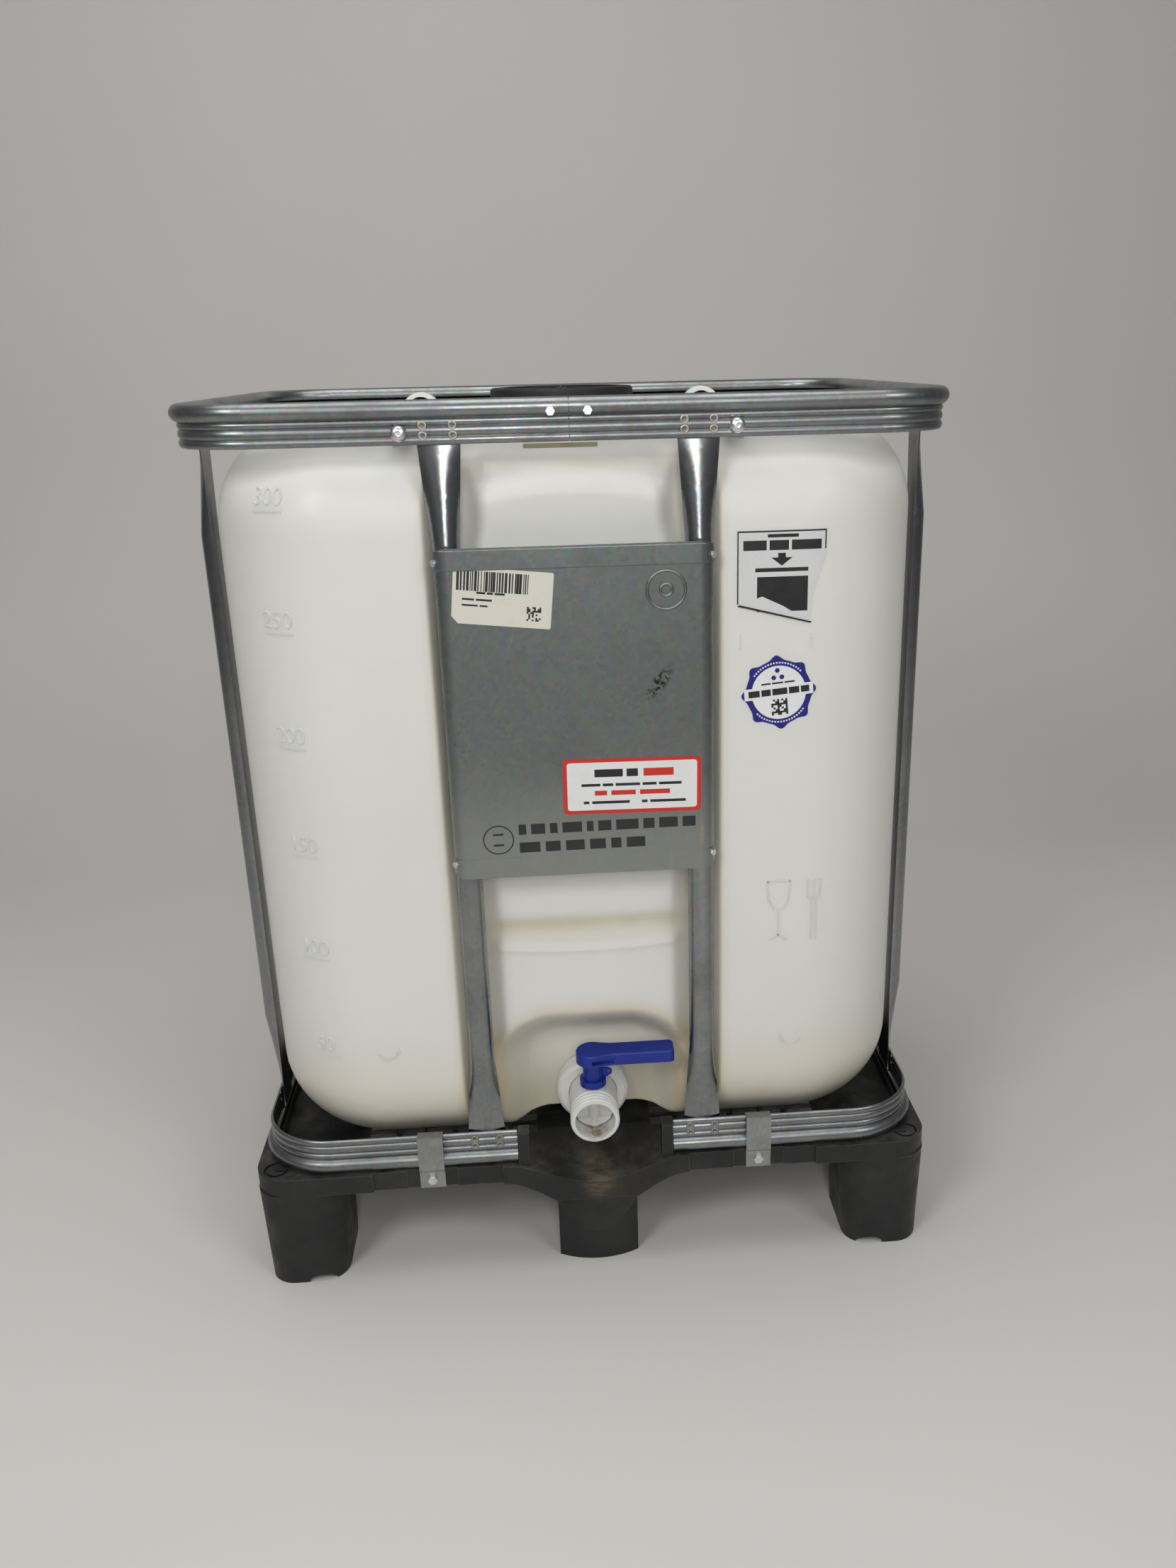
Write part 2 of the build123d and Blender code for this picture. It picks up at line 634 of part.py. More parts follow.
with BuildPart() as lid_gasket:
    with BuildSketch(Plane.XY.offset(NECK_TOP + 0.3)):
        Circle(NECK_RADIUS)
        Circle(NECK_BORE + 0.5, mode=Mode.SUBTRACT)
    extrude(amount=LID_TOP - LID_PLATE - NECK_TOP - 0.6)
save(lid_gasket, "lid_gasket")


# ---------------------------------------------------------------- valve
def turned(outline):
    """Solid of revolution about the valve axis from (radius, y) points."""
    with BuildSketch(Plane.XY.offset(VALVE_Z)) as half:
        with BuildLine():
            Polyline(*outline, close=True)
        make_face()
    revolve(half.sketch, axis=Axis((0, 0, VALVE_Z), (0, 1, 0)))


flange_back = NECK_FACE_Y - GASKET_THICKNESS
flange_front = flange_back - FLANGE_THICKNESS

with BuildPart() as valve_body:
    turned([
        (BORE, flange_back), (FLANGE_RADIUS, flange_back), (FLANGE_RADIUS, flange_front),
        (BODY_RADIUS, flange_front), (BODY_RADIUS, MOUTH_Y + 22), (BODY_RADIUS - 1.6, MOUTH_Y + 20),
        (BODY_RADIUS - 1.6, MOUTH_Y), (MOUTH_BORE, MOUTH_Y), (MOUTH_BORE, MOUTH_Y + MOUTH_LIP),
        (BORE, MOUTH_Y + MOUTH_LIP + 2.5),
    ])
    # coarse outlet thread, as three ridges
    for ridge in (3.0, 9.0, 15.0):
        y = MOUTH_Y + ridge
        turned([
            (BODY_RADIUS - 2, y - 1.9), (BODY_RADIUS + 0.1, y - 0.4),
            (BODY_RADIUS + 0.1, y + 0.9), (BODY_RADIUS - 2, y + 1.9),
        ])
    # spindle boss on top
    with BuildSketch(Plane.XY.offset(VALVE_Z + BORE)):
        with Locations((0, SPINDLE_Y)):
            Circle(BOSS_RADIUS)
    extrude(amount=COLLAR_BOTTOM - VALVE_Z - BORE - 0.4)
    with BuildSketch(Plane.XY.offset(VALVE_Z + BORE - 6)):
        with Locations((0, SPINDLE_Y)):
            Circle(SPINDLE_RADIUS + RUNNING_GAP)
    extrude(amount=30, mode=Mode.SUBTRACT)
    with BuildSketch(Plane.XY.offset(COLLAR_BOTTOM - SEAL_DEPTH)):
        with Locations((0, SPINDLE_Y)):
            Circle(SEAL_RADIUS + 0.1)
    extrude(amount=SEAL_DEPTH, mode=Mode.SUBTRACT)
save(valve_body, "valve_body")

with BuildPart() as valve_gasket:
    turned([
        (BORE + 0.5, NECK_FACE_Y), (FLANGE_RADIUS, NECK_FACE_Y), (FLANGE_RADIUS, flange_back),
        (BORE + 0.5, flange_back),
    ])
save(valve_gasket, "valve_gasket")

with BuildPart() as union_nut:
    turned([
        (OUTLET_NECK_RADIUS + 0.3, NUT_BACK_Y), (NUT_RADIUS, NUT_BACK_Y), (NUT_RADIUS, NUT_FRONT_Y + 6),
        (NUT_RADIUS - 1.5, NUT_FRONT_Y + 3), (NUT_RADIUS - 5, NUT_FRONT_Y),
        (BODY_RADIUS + 0.6, NUT_FRONT_Y), (BODY_RADIUS + 0.6, flange_front),
        (OUTLET_NECK_RADIUS + 0.3, flange_front),
    ])
save(union_nut, "union_nut")

with BuildPart() as spindle_seal:
    with BuildSketch(Plane.XY.offset(COLLAR_BOTTOM - SEAL_DEPTH)):
        with Locations((0, SPINDLE_Y)):
            Circle(SEAL_RADIUS)
            Circle(SPINDLE_RADIUS + RUNNING_GAP, mode=Mode.SUBTRACT)
    extrude(amount=SEAL_DEPTH - 0.6)
save(spindle_seal, "spindle_seal")

with BuildPart() as flap:
    with BuildSketch(Plane.XZ.offset(-SPINDLE_Y - DISC_THICKNESS / 2)):
        with Locations((0, VALVE_Z)):
            Circle(DISC_RADIUS)
    extrude(amount=DISC_THICKNESS)
    # thick lip along the lower and the upper edge, on both faces
    with BuildSketch(Plane.XZ.offset(-SPINDLE_Y - LIP_HALF_DEPTH)):
        with Locations((0, VALVE_Z)):
            Circle(DISC_RADIUS - 1)
            Rectangle(2 * DISC_RADIUS, 2 * LIP_EDGE, mode=Mode.SUBTRACT)
    extrude(amount=2 * LIP_HALF_DEPTH)
    with BuildSketch(Plane.XY.offset(VALVE_Z - BORE + 1.8)):
        with Locations((0, SPINDLE_Y)):
            Circle(DISC_HUB_RADIUS)
    extrude(amount=2 * BORE - 3.6)
    with BuildSketch(Plane.XY.offset(VALVE_Z - BORE + 6)):
        with Locations((0, SPINDLE_Y)):
            Circle(SPINDLE_RADIUS + FIT_GAP)
    extrude(amount=2 * BORE, mode=Mode.SUBTRACT)
    # groove for the seal, cleared where the hub crosses it
    with BuildSketch(Plane.XZ.offset(-SPINDLE_Y - 1.0)):
        with Locations((0, VALVE_Z)):
            Circle(DISC_RADIUS + 3)
            Circle(DISC_RADIUS - DISC_SEAL_GROOVE, mode=Mode.SUBTRACT)
        with Locations((0, VALVE_Z + DISC_RADIUS), (0, VALVE_Z - DISC_RADIUS)):
            Rectangle(19, 12, mode=Mode.SUBTRACT)
    extrude(amount=2.0, mode=Mode.SUBTRACT)
save(flap, "flap")

with BuildPart() as flap_seal:
    with BuildSketch(Plane.XZ.offset(-SPINDLE_Y - 1.0)):
        with Locations((0, VALVE_Z)):
            Circle(BORE - 0.3)
            Circle(DISC_RADIUS - DISC_SEAL_GROOVE, mode=Mode.SUBTRACT)
        with Locations((0, VALVE_Z + DISC_RADIUS), (0, VALVE_Z - DISC_RADIUS)):
            Rectangle(19, 12, mode=Mode.SUBTRACT)
    extrude(amount=2.0)
save(flap_seal, "flap_seal")

spindle_low = VALVE_Z - BORE + 6

with BuildPart() as spindle:
    with BuildSketch(Plane.XY.offset(spindle_low)):
        with Locations((0, SPINDLE_Y)):
            Circle(SPINDLE_RADIUS)
    extrude(amount=HANDLE_TOP - 6 - spindle_low)
save(spindle, "spindle")

with BuildPart() as handle:
    # lever blade
    with BuildSketch(Plane.XY.offset(HANDLE_BOTTOM)) as blade:
        with Locations((0, SPINDLE_Y)):
            Circle(HANDLE_HUB)
        with BuildLine():
            Polyline(
                (0, SPINDLE_Y - HANDLE_HUB + 0.1), (HANDLE_NECK_X, SPINDLE_Y - HANDLE_HALF_DEPTH),
                (HANDLE_END, SPINDLE_Y - HANDLE_HALF_DEPTH), (HANDLE_END, SPINDLE_Y + HANDLE_HALF_DEPTH),
                (HANDLE_NECK_X, SPINDLE_Y + HANDLE_HALF_DEPTH), (0, SPINDLE_Y + HANDLE_HUB - 0.1),
                close=True,
            )
        make_face()
        fillet(blade.vertices().group_by(Axis.X)[-1], 6)
    extrude(amount=HANDLE_TOP - HANDLE_BOTTOM)
    fillet(handle.edges().group_by(Axis.Z)[-1], 2.5)
    # undercut slot beside the hub
    with BuildSketch(Plane.XY.offset(HANDLE_BOTTOM + 3)):
        with Locations((12, SPINDLE_Y - HANDLE_HUB), (12, SPINDLE_Y + HANDLE_HUB)):
            Rectangle(26, 14)
    extrude(amount=5.5, mode=Mode.SUBTRACT)
    # stem, collar and the sealing lug
    with BuildSketch(Plane.XY.offset(COLLAR_BOTTOM)):
        with Locations((0, SPINDLE_Y)):
            Circle(STEM_RADIUS)
    extrude(amount=HANDLE_BOTTOM - COLLAR_BOTTOM + 1)
    with BuildSketch(Plane.XY.offset(COLLAR_BOTTOM)):
        with Locations((0, SPINDLE_Y)):
            Circle(COLLAR_RADIUS)
    extrude(amount=COLLAR_HEIGHT)
    with BuildSketch(Plane.XZ.offset(-SPINDLE_Y - 1.5)):
        with Locations((LUG_X - 6.5, LUG_Z - 0.5)):
            Rectangle(12, 11)
        with Locations((LUG_X, LUG_Z)):
            Circle(LUG_RADIUS)
    extrude(amount=3)
    with BuildSketch(Plane.XZ.offset(-SPINDLE_Y - 5)):
        with Locations((LUG_X, LUG_Z)):
            Circle(1.6)
    extrude(amount=10, mode=Mode.SUBTRACT)
    with BuildSketch(Plane.XY.offset(COLLAR_BOTTOM - 1)):
        with Locations((0, SPINDLE_Y)):
            Circle(SPINDLE_RADIUS + FIT_GAP)
    extrude(amount=HANDLE_TOP - 6 - COLLAR_BOTTOM + 1, mode=Mode.SUBTRACT)
save(handle, "handle")


# ---------------------------------------------------------------- crossbars over the bottle
bar_under = BOTTLE_TOP + 0.3
bar_over = bar_under + CROSSBAR_THICKNESS
bar_inner = CROSSBAR_FACE_Y - CROSSBAR_THICKNESS

for name, x in (("crossbar_left", -CROSSBAR_X), ("crossbar_right", CROSSBAR_X)):
    with BuildPart() as crossbar:
        with BuildSketch(Plane.YZ.offset(x - CROSSBAR_WIDTH / 2)):
            with BuildLine():
                Polyline(
                    (-CROSSBAR_FACE_Y, CROSSBAR_LOW), (-CROSSBAR_FACE_Y, bar_over),
                    (CROSSBAR_FACE_Y, bar_over), (CROSSBAR_FACE_Y, CROSSBAR_LOW),
                    (bar_inner, CROSSBAR_LOW), (bar_inner, bar_under),
                    (-bar_inner, bar_under), (-bar_inner, CROSSBAR_LOW), close=True,
                )
            make_face()
        extrude(amount=CROSSBAR_WIDTH)
        top_corners = crossbar.edges().filter_by(Axis.X).group_by(Axis.Z)[-1]
        fillet(top_corners, CROSSBAR_THICKNESS - 0.5)
        front_hole(x, BOLT_Z, 4.2, -300, 600)
    save(crossbar, name)

with BuildPart() as crossbar_bolts:
    for outward, y in ((FRONT, -RING_Y), (BACK, RING_Y)):
        for x in (-CROSSBAR_X, CROSSBAR_X):
            seat = face_plane(x, y + outward[1] * (RIB_CREST + 0.1), BOLT_Z, outward)
            with BuildSketch(seat):
                Circle(4.0)
            extrude(amount=-20)
            with BuildPart(mode=Mode.PRIVATE) as head:
                with BuildSketch(seat):
                    Circle(BOLT_HEAD_RADIUS)
                extrude(amount=7.6)
                fillet(head.faces().sort_by(Axis.Y)[0 if outward == FRONT else -1].edges(), 5.2)
                with BuildSketch(seat.offset(8)):
                    RegularPolygon(2.6, 6)
                extrude(amount=-4, mode=Mode.SUBTRACT)
            add(head.part)
save(crossbar_bolts, "crossbar_bolts")

with BuildPart() as crossbar_nuts:
    for outward, y in ((FRONT, -bar_inner), (BACK, bar_inner)):
        for x in (-CROSSBAR_X, CROSSBAR_X):
            with BuildSketch(face_plane(x, y - outward[1] * 0.1, BOLT_Z, outward)):
                RegularPolygon(6.5, 6, major_radius=False)
                Circle(4.0 + FIT_GAP, mode=Mode.SUBTRACT)
            extrude(amount=-6.5)
save(crossbar_nuts, "crossbar_nuts")

for name, x in (("bar_loop_left", -CROSSBAR_X), ("bar_loop_right", CROSSBAR_X)):
    with BuildPart() as bar_loop:
        with BuildSketch(Plane.XZ.offset(-LOOP_DEPTH / 2)):
            with Locations((x, BOTTLE_TOP + 0.4)):
                Circle(LOOP_RADIUS)
                Circle(LOOP_RADIUS - LOOP_THICKNESS, mode=Mode.SUBTRACT)
                Rectangle(3 * LOOP_RADIUS, LOOP_RADIUS, align=(Align.CENTER, Align.MAX), mode=Mode.SUBTRACT)
            for side in (-1, 1):
                with Locations((x + side * (LOOP_RADIUS + 1.5), BOTTLE_TOP + 1.6)):
                    Rectangle(LOOP_THICKNESS + 5, 2.4)
        extrude(amount=LOOP_DEPTH)
    save(bar_loop, name)


# ---------------------------------------------------------------- identification plate
def wrap_point(side, radius):
    """End of the plate's turn round a front post."""
    turn = radians(PLATE_WRAP)
    return (side * (POST_FRONT_X + radius * sin(turn)), WRAP_CENTRE_Y - radius * cos(turn))


def wrap_middle(side, radius):
    """Middle of that turn."""
    turn = radians(PLATE_WRAP / 2)
    return (side * (POST_FRONT_X + radius * sin(turn)), WRAP_CENTRE_Y - radius * cos(turn))


def plate_blank(low, high, outer):
    """Sheet bent round both front posts, between two heights."""
    with BuildSketch(Plane.XY.offset(low)) as blank:
        with BuildLine():
            for radius in (PLATE_INNER, outer):
                Line((-POST_FRONT_X, WRAP_CENTRE_Y - radius), (POST_FRONT_X, WRAP_CENTRE_Y - radius))
                for side in (-1, 1):
                    start = (side * POST_FRONT_X, WRAP_CENTRE_Y - radius)
                    ThreePointArc(start, wrap_middle(side, radius), wrap_point(side, radius))
            for side in (-1, 1):
                Line(wrap_point(side, PLATE_INNER), wrap_point(side, outer))
        make_face()
    extrude(blank.sketch, amount=high - low)


with BuildPart() as plate_roll:
    plate_blank(PLATE_HIGH - PLATE_ROLL, PLATE_HIGH - 1.5, PLATE_OUTER + PLATE_ROLL_RISE)
    roll_edges = plate_roll.edges().group_by(Axis.Z)
    fillet(roll_edges[0] + roll_edges[-1], 1.0)

with BuildPart() as id_plate:
    plate_blank(PLATE_LOW, PLATE_HIGH, PLATE_OUTER)
    plate_blank(PLATE_LOW, PLATE_LOW + PLATE_ROLL, PLATE_OUTER + 0.6)
    add(plate_roll.part)
    with BuildSketch(Plane.XZ.offset(DEPTH / 2 + 1)):
        with Locations((0, (PLATE_LOW + PLATE_HIGH) / 2)):
            RectangleRounded(2 * (POST_FRONT_X + 14.5), PLATE_HIGH - PLATE_LOW, 10)
    extrude(amount=-40, mode=Mode.INTERSECT)
    for x in (-POST_FRONT_X, POST_FRONT_X):
        drill_plate_screws(x)
save(id_plate, "id_plate")

with BuildPart() as plate_screws:
    for side in (-1, 1):
        for z, rise in zip(PLATE_SCREW_HEIGHTS, (0.7, PLATE_ROLL_RISE + 0.1)):
            hex_screw(plate_screw_plane(side, z, PLATE_OUTER + rise), 2.0, 7, 7.0, 2.0)
save(plate_screws, "plate_screws")


# ---------------------------------------------------------------- clips on the bottom ring
ring_high = BOTTOM_BEAD_Z + RIB_LEVELS[-1]
clip_out = BEAD_RADIUS + 0.1
clip_tab = CLIP_FASCIA + 0.1
hook_out = RIB_CREASE - SHEET - 0.3
clip_outline = [
    (hook_out - CLIP_SHEET, ring_high - 11), (hook_out - CLIP_SHEET, ring_high + 1.9),
    (clip_out + CLIP_SHEET, ring_high + 1.9), (clip_out + CLIP_SHEET, DECK_TOP - 0.5),
    (clip_tab + CLIP_SHEET, DECK_TOP - 3), (clip_tab + CLIP_SHEET, CLIP_BOTTOM), (clip_tab, CLIP_BOTTOM),
    (clip_tab, DECK_TOP - 2.4), (clip_out, DECK_TOP + 0.2), (clip_out, ring_high + 0.4),
    (hook_out, ring_high + 0.4), (hook_out, ring_high - 11),
]
clip_names = (
    "clip_front_left", "clip_front_right", "clip_rear_left", "clip_rear_right", "clip_left", "clip_right",
)

for name, plane in zip(clip_names, clip_planes):
    side_on = Plane(origin=plane.origin, x_dir=plane.z_dir, z_dir=plane.z_dir.cross(Vector(0, 0, 1)))
    with BuildPart() as clip:
        with BuildSketch(side_on):
            with BuildLine():
                Polyline(*clip_outline, close=True)
            make_face()
        extrude(amount=CLIP_WIDTH / 2, both=True)
        with BuildSketch(plane.offset(clip_out)):
            with Locations((0, CLIP_SCREW_Z)):
                Circle(2.6)
        extrude(amount=-6, mode=Mode.SUBTRACT)
    save(clip, name)

with BuildPart() as clip_screws:
    for plane in clip_planes:
        seat = Plane(origin=plane.origin + Vector(0, 0, CLIP_SCREW_Z), x_dir=plane.x_dir, z_dir=plane.z_dir)
        hex_screw(seat.offset(clip_tab + CLIP_SHEET + 0.1), 2.5, 12, 10.0, 3.6)
save(clip_screws, "clip_screws")
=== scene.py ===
"""Looks of the 300 litre intermediate bulk container, laid out as an add-on and run as a script.

Metres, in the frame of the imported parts: +X right, -Y front, +Z up, origin on the floor.
"""

import math

import bmesh
import bpy
import numpy as np
from bpy.props import FloatProperty, FloatVectorProperty, IntProperty, PointerProperty
from mathutils import Matrix, Vector


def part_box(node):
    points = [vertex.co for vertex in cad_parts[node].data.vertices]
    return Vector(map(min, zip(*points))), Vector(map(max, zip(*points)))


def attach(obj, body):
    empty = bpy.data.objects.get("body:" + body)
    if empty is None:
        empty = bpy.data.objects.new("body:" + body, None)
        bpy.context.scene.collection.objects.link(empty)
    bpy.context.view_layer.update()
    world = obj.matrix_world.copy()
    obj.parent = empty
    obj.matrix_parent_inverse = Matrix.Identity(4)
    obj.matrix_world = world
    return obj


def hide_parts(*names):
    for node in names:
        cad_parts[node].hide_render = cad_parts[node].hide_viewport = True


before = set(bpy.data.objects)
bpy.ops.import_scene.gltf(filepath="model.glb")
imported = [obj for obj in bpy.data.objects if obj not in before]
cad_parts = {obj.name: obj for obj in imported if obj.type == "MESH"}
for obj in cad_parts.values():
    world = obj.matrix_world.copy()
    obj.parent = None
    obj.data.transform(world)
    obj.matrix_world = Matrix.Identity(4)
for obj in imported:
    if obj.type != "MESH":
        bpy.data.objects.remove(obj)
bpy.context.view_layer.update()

bl_info = {
    "name": "Bulk Container Looks",
    "version": (1, 0, 0),
    "blender": (4, 5, 0),
    "location": "3D View > Sidebar > Container",
    "description": "Bottle, labels, marks and finishes of a 300 litre bulk container",
    "category": "Object",
}

# ------------------------------------------------------------------ measures taken from the frame
BOTTLE_LOW, BOTTLE_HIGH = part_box("bottle")
NUT_LOW, NUT_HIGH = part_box("union_nut")
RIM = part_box("top_ring")[1]  # outermost corner of the rim
LOWER_RING_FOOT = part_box("bottom_ring")[0].z
SPINDLE_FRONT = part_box("spindle")[0].y
PLATE_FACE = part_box("id_plate")[0].y + 0.0014

HALF_LENGTH = BOTTLE_HIGH.x
HALF_DEPTH = BOTTLE_HIGH.y
CORNER = 0.140  # plan radius of the bottle's corners
EDGE = 0.104  # radius of its top and bottom edges
CORE_X = HALF_LENGTH - CORNER  # centres of the corner radius
CORE_Y = HALF_DEPTH - CORNER
BASE_Z = BOTTLE_LOW.z
SHOULDER_Z = 0.983
NECK_TOP = BOTTLE_HIGH.z
NECK_RADIUS = 0.077
NECK_BORE = 0.073
THREAD_FOOT = 0.9885  # where the neck's thread starts
THREAD_PITCH = 0.0048
CHANNEL_DEPTH = 0.018
CHANNEL_WALL = 0.148  # where the channel's wall stands, from the middle
PANEL_EDGE = 0.106  # raised panel between the gutters behind the posts
GUTTER_DEPTH = 0.011
BLOCK_TOP = 0.922  # where the raised panel ends under the rim
RECESS_HALF = 0.118
RECESS_TOP = 0.322
RECESS_ROUND = 0.078
RECESS_DEPTH = 0.068
VALVE_Z = (NUT_LOW.z + NUT_HIGH.z) / 2
VALVE_BORE = 0.026
OUTLET_NECK = 0.038
RING_FACE_X = RIM.x - 0.009  # the band's face lies a bead's radius behind the rim
RING_FACE_Y = RIM.y - 0.009
POST_FRONT_X = 0.127
POST_SIDE_Y = 0.147
MM = 0.001
SHEET = 0.00018  # sticker thickness
INK = 0.00006
ART_PITCH = 0.004  # flat art is cut this fine to follow the bottle


# ------------------------------------------------------------------ settings that a user would change
class StageSettings(bpy.types.PropertyGroup):
    """Camera, lights and backdrop."""

    camera_place: FloatVectorProperty(
        name="Camera Place", description="Where the camera stands", subtype="TRANSLATION", unit="LENGTH",
        default=(-0.0334, -1.5853, 1.0426),
    )
    camera_turn: FloatProperty(
        name="Camera Turn", description="Turn to the right of straight ahead", subtype="ANGLE",
        default=math.radians(4.14),
    )
    camera_tilt: FloatProperty(
        name="Camera Tilt", description="Tilt below the horizon", subtype="ANGLE", default=math.radians(19.63),
    )
    camera_roll: FloatProperty(
        name="Camera Roll", description="Roll about the line of sight", subtype="ANGLE",
        default=math.radians(-1.25),
    )
    lens: FloatProperty(name="Lens", description="Focal length in millimetres", default=29.42, min=1)
    shift: FloatVectorProperty(name="Lens Shift", description="Framing shift", size=2, default=(-0.033, 0.017))
    left_power: FloatProperty(
        name="Left Key", description="Power of the key light on the left", unit="POWER", default=25, min=0,
    )
    right_power: FloatProperty(
        name="Right Key", description="Power of the key light on the right", unit="POWER", default=15, min=0,
    )
    front_power: FloatProperty(
        name="Front Light", description="Power of the light by the camera", unit="POWER", default=13, min=0,
    )
    top_power: FloatProperty(
        name="Top Light", description="Power of the light overhead", unit="POWER", default=28, min=0,
    )
    sky: FloatProperty(name="Sky", description="Strength of the even light all round", default=0.13, min=0)
    floor_colour: FloatVectorProperty(
        name="Floor Colour", description="Colour of the floor and backdrop", subtype="COLOR",
        default=(0.70, 0.68, 0.65), min=0, max=1,
    )


class BottleSettings(bpy.types.PropertyGroup):
    """Milky bottle and what is moulded into it."""

    colour: FloatVectorProperty(
        name="Plastic", description="Clean milky plastic", subtype="COLOR", default=(0.78, 0.775, 0.735),
        min=0, max=1,
    )
    # This colour is also painted as shade in the gutters, the groove, the valley under the rim and under the recess's
    # brow.
    aged_and_shade: FloatVectorProperty(
        name="Aged Plastic", description="Yellowed plastic in grooves and low down", subtype="COLOR",
        default=(0.62, 0.545, 0.375), min=0, max=1,
    )
    relief: FloatProperty(
        name="Relief", description="Height of the raised marks", unit="LENGTH", subtype="DISTANCE", default=0.0008,
    )
    mark_pitch: FloatProperty(
        name="Mark Pitch", description="Height of fifty litres", unit="LENGTH", subtype="DISTANCE", default=0.1227,
    )
    first_mark: FloatProperty(
        name="First Mark", description="Height of the lowest number", unit="LENGTH", subtype="DISTANCE",
        default=0.3024,
    )
    marks: IntProperty(name="Marks", description="How many numbers stand on the scale", default=6, min=1)


class MetalSettings(bpy.types.PropertyGroup):
    """Galvanised steel."""

    bright: FloatVectorProperty(
        name="Galvanised", description="Bright galvanised sheet and tube", subtype="COLOR",
        default=(0.30, 0.312, 0.312), min=0, max=1,
    )
    dull: FloatVectorProperty(
        name="Weathered", description="Weathered zinc", subtype="COLOR", default=(0.14, 0.147, 0.143), min=0, max=1,
    )


class PlasticSettings(bpy.types.PropertyGroup):
    """Moulded plastic parts."""

    pallet: FloatVectorProperty(
        name="Pallet", description="Black recycled plastic", subtype="COLOR", default=(0.0105, 0.0105, 0.011),
        min=0, max=1,
    )
    dust: FloatVectorProperty(
        name="Dust", description="Dust and dried scale", subtype="COLOR", default=(0.23, 0.22, 0.20), min=0, max=1,
    )
    handle: FloatVectorProperty(
        name="Lever", description="Blue lever", subtype="COLOR", default=(0.004, 0.020, 0.25), min=0, max=1,
    )


# ------------------------------------------------------------------ shader helpers
class Finish:
    """A node material with short names for the few nodes that these finishes need."""

    def __init__(self, name):
        self.material = bpy.data.materials.new(name)
        self.material.use_nodes = True
        self.nodes = self.material.node_tree.nodes
        self.links = self.material.node_tree.links
        self.shader = next(n for n in self.nodes if n.type == "BSDF_PRINCIPLED")
        self.place = self.nodes.new("ShaderNodeTexCoord").outputs["Object"]

    def set(self, **values):
        for key, value in values.items():
            self.shader.inputs[key.replace("_", " ")].default_value = value

    def join(self, source, target):
        self.links.new(source, target)

    def scaled(self, scale):
        """Object coordinates stretched along each axis."""
        node = self.nodes.new("ShaderNodeMapping")
        node.inputs["Scale"].default_value = scale
        self.join(self.place, node.inputs["Vector"])
        return node.outputs["Vector"]

    def noise(self, scale, detail=4.0, roughness=0.55, vector=None, distortion=0.0):
        node = self.nodes.new("ShaderNodeTexNoise")
        node.inputs["Scale"].default_value = scale
        node.inputs["Detail"].default_value = detail
        node.inputs["Roughness"].default_value = roughness
        node.inputs["Distortion"].default_value = distortion
        self.join(vector or self.place, node.inputs["Vector"])
        return node.outputs["Fac"]

    def cells(self, scale, vector=None, output="Distance"):
        node = self.nodes.new("ShaderNodeTexVoronoi")
        node.inputs["Scale"].default_value = scale
        self.join(vector or self.place, node.inputs["Vector"])
        return node.outputs[output]

    def step(self, value, low, high, to_low=0.0, to_high=1.0):
        node = self.nodes.new("ShaderNodeMapRange")
        node.interpolation_type = "SMOOTHSTEP"
        node.inputs["From Min"].default_value = low
        node.inputs["From Max"].default_value = high
        node.inputs["To Min"].default_value = to_low
        node.inputs["To Max"].default_value = to_high
        self.join(value, node.inputs["Value"])
        return node.outputs["Result"]

    def math(self, operation, a, b=None):
        node = self.nodes.new("ShaderNodeMath")
        node.operation = operation
        for socket, value in zip(node.inputs, (a, b)):
            if value is None:
                continue
            if isinstance(value, (int, float)):
                socket.default_value = value
            else:
                self.join(value, socket)
        return node.outputs["Value"]

    def mix(self, factor, a, b, blend="MIX"):
        node = self.nodes.new("ShaderNodeMix")
        node.data_type = "RGBA"
        node.blend_type = blend
        if isinstance(factor, (int, float)):
            node.inputs["Factor"].default_value = factor
        else:
            self.join(factor, node.inputs["Factor"])
        for name, value in (("A", a), ("B", b)):
            socket = next(s for s in node.inputs if s.name == name and s.type == "RGBA")
            if isinstance(value, bpy.types.NodeSocket):
                self.join(value, socket)
            else:
                socket.default_value = (*tuple(value)[:3], 1.0)
        return next(s for s in node.outputs if s.type == "RGBA")

    def axis(self, letter):
        node = self.nodes.new("ShaderNodeSeparateXYZ")
        self.join(self.place, node.inputs["Vector"])
        return node.outputs[letter]

    def spot(self, centre, inner, outer, scale=(1, 1, 1), turn=(0, 0, 0)):
        """1 at a place on the object, fading to 0 at the outer distance."""
        node = self.nodes.new("ShaderNodeMapping")
        node.vector_type = "TEXTURE"
        node.inputs["Location"].default_value = centre
        node.inputs["Rotation"].default_value = turn
        node.inputs["Scale"].default_value = scale
        self.join(self.place, node.inputs["Vector"])
        length = self.nodes.new("ShaderNodeVectorMath")
        length.operation = "LENGTH"
        self.join(node.outputs["Vector"], length.inputs[0])
        return self.step(length.outputs["Value"], inner, outer, 1.0, 0.0)

    def attribute(self, name):
        node = self.nodes.new("ShaderNodeAttribute")
        node.attribute_name = name
        return node.outputs["Fac"]

    def edges(self, radius):
        """0 on flat faces, rising on worn outer and inner edges."""
        bevel = self.nodes.new("ShaderNodeBevel")
        bevel.samples = 4
        bevel.inputs["Radius"].default_value = radius
        flat = self.nodes.new("ShaderNodeNewGeometry")
        dot = self.nodes.new("ShaderNodeVectorMath")
        dot.operation = "DOT_PRODUCT"
        self.join(bevel.outputs["Normal"], dot.inputs[0])
        self.join(flat.outputs["Normal"], dot.inputs[1])
        return self.step(dot.outputs["Value"], 0.985, 0.80)

    def colour(self, source):
        self.join(source, self.shader.inputs["Base Color"])

    def roughness(self, source):
        self.join(source, self.shader.inputs["Roughness"])

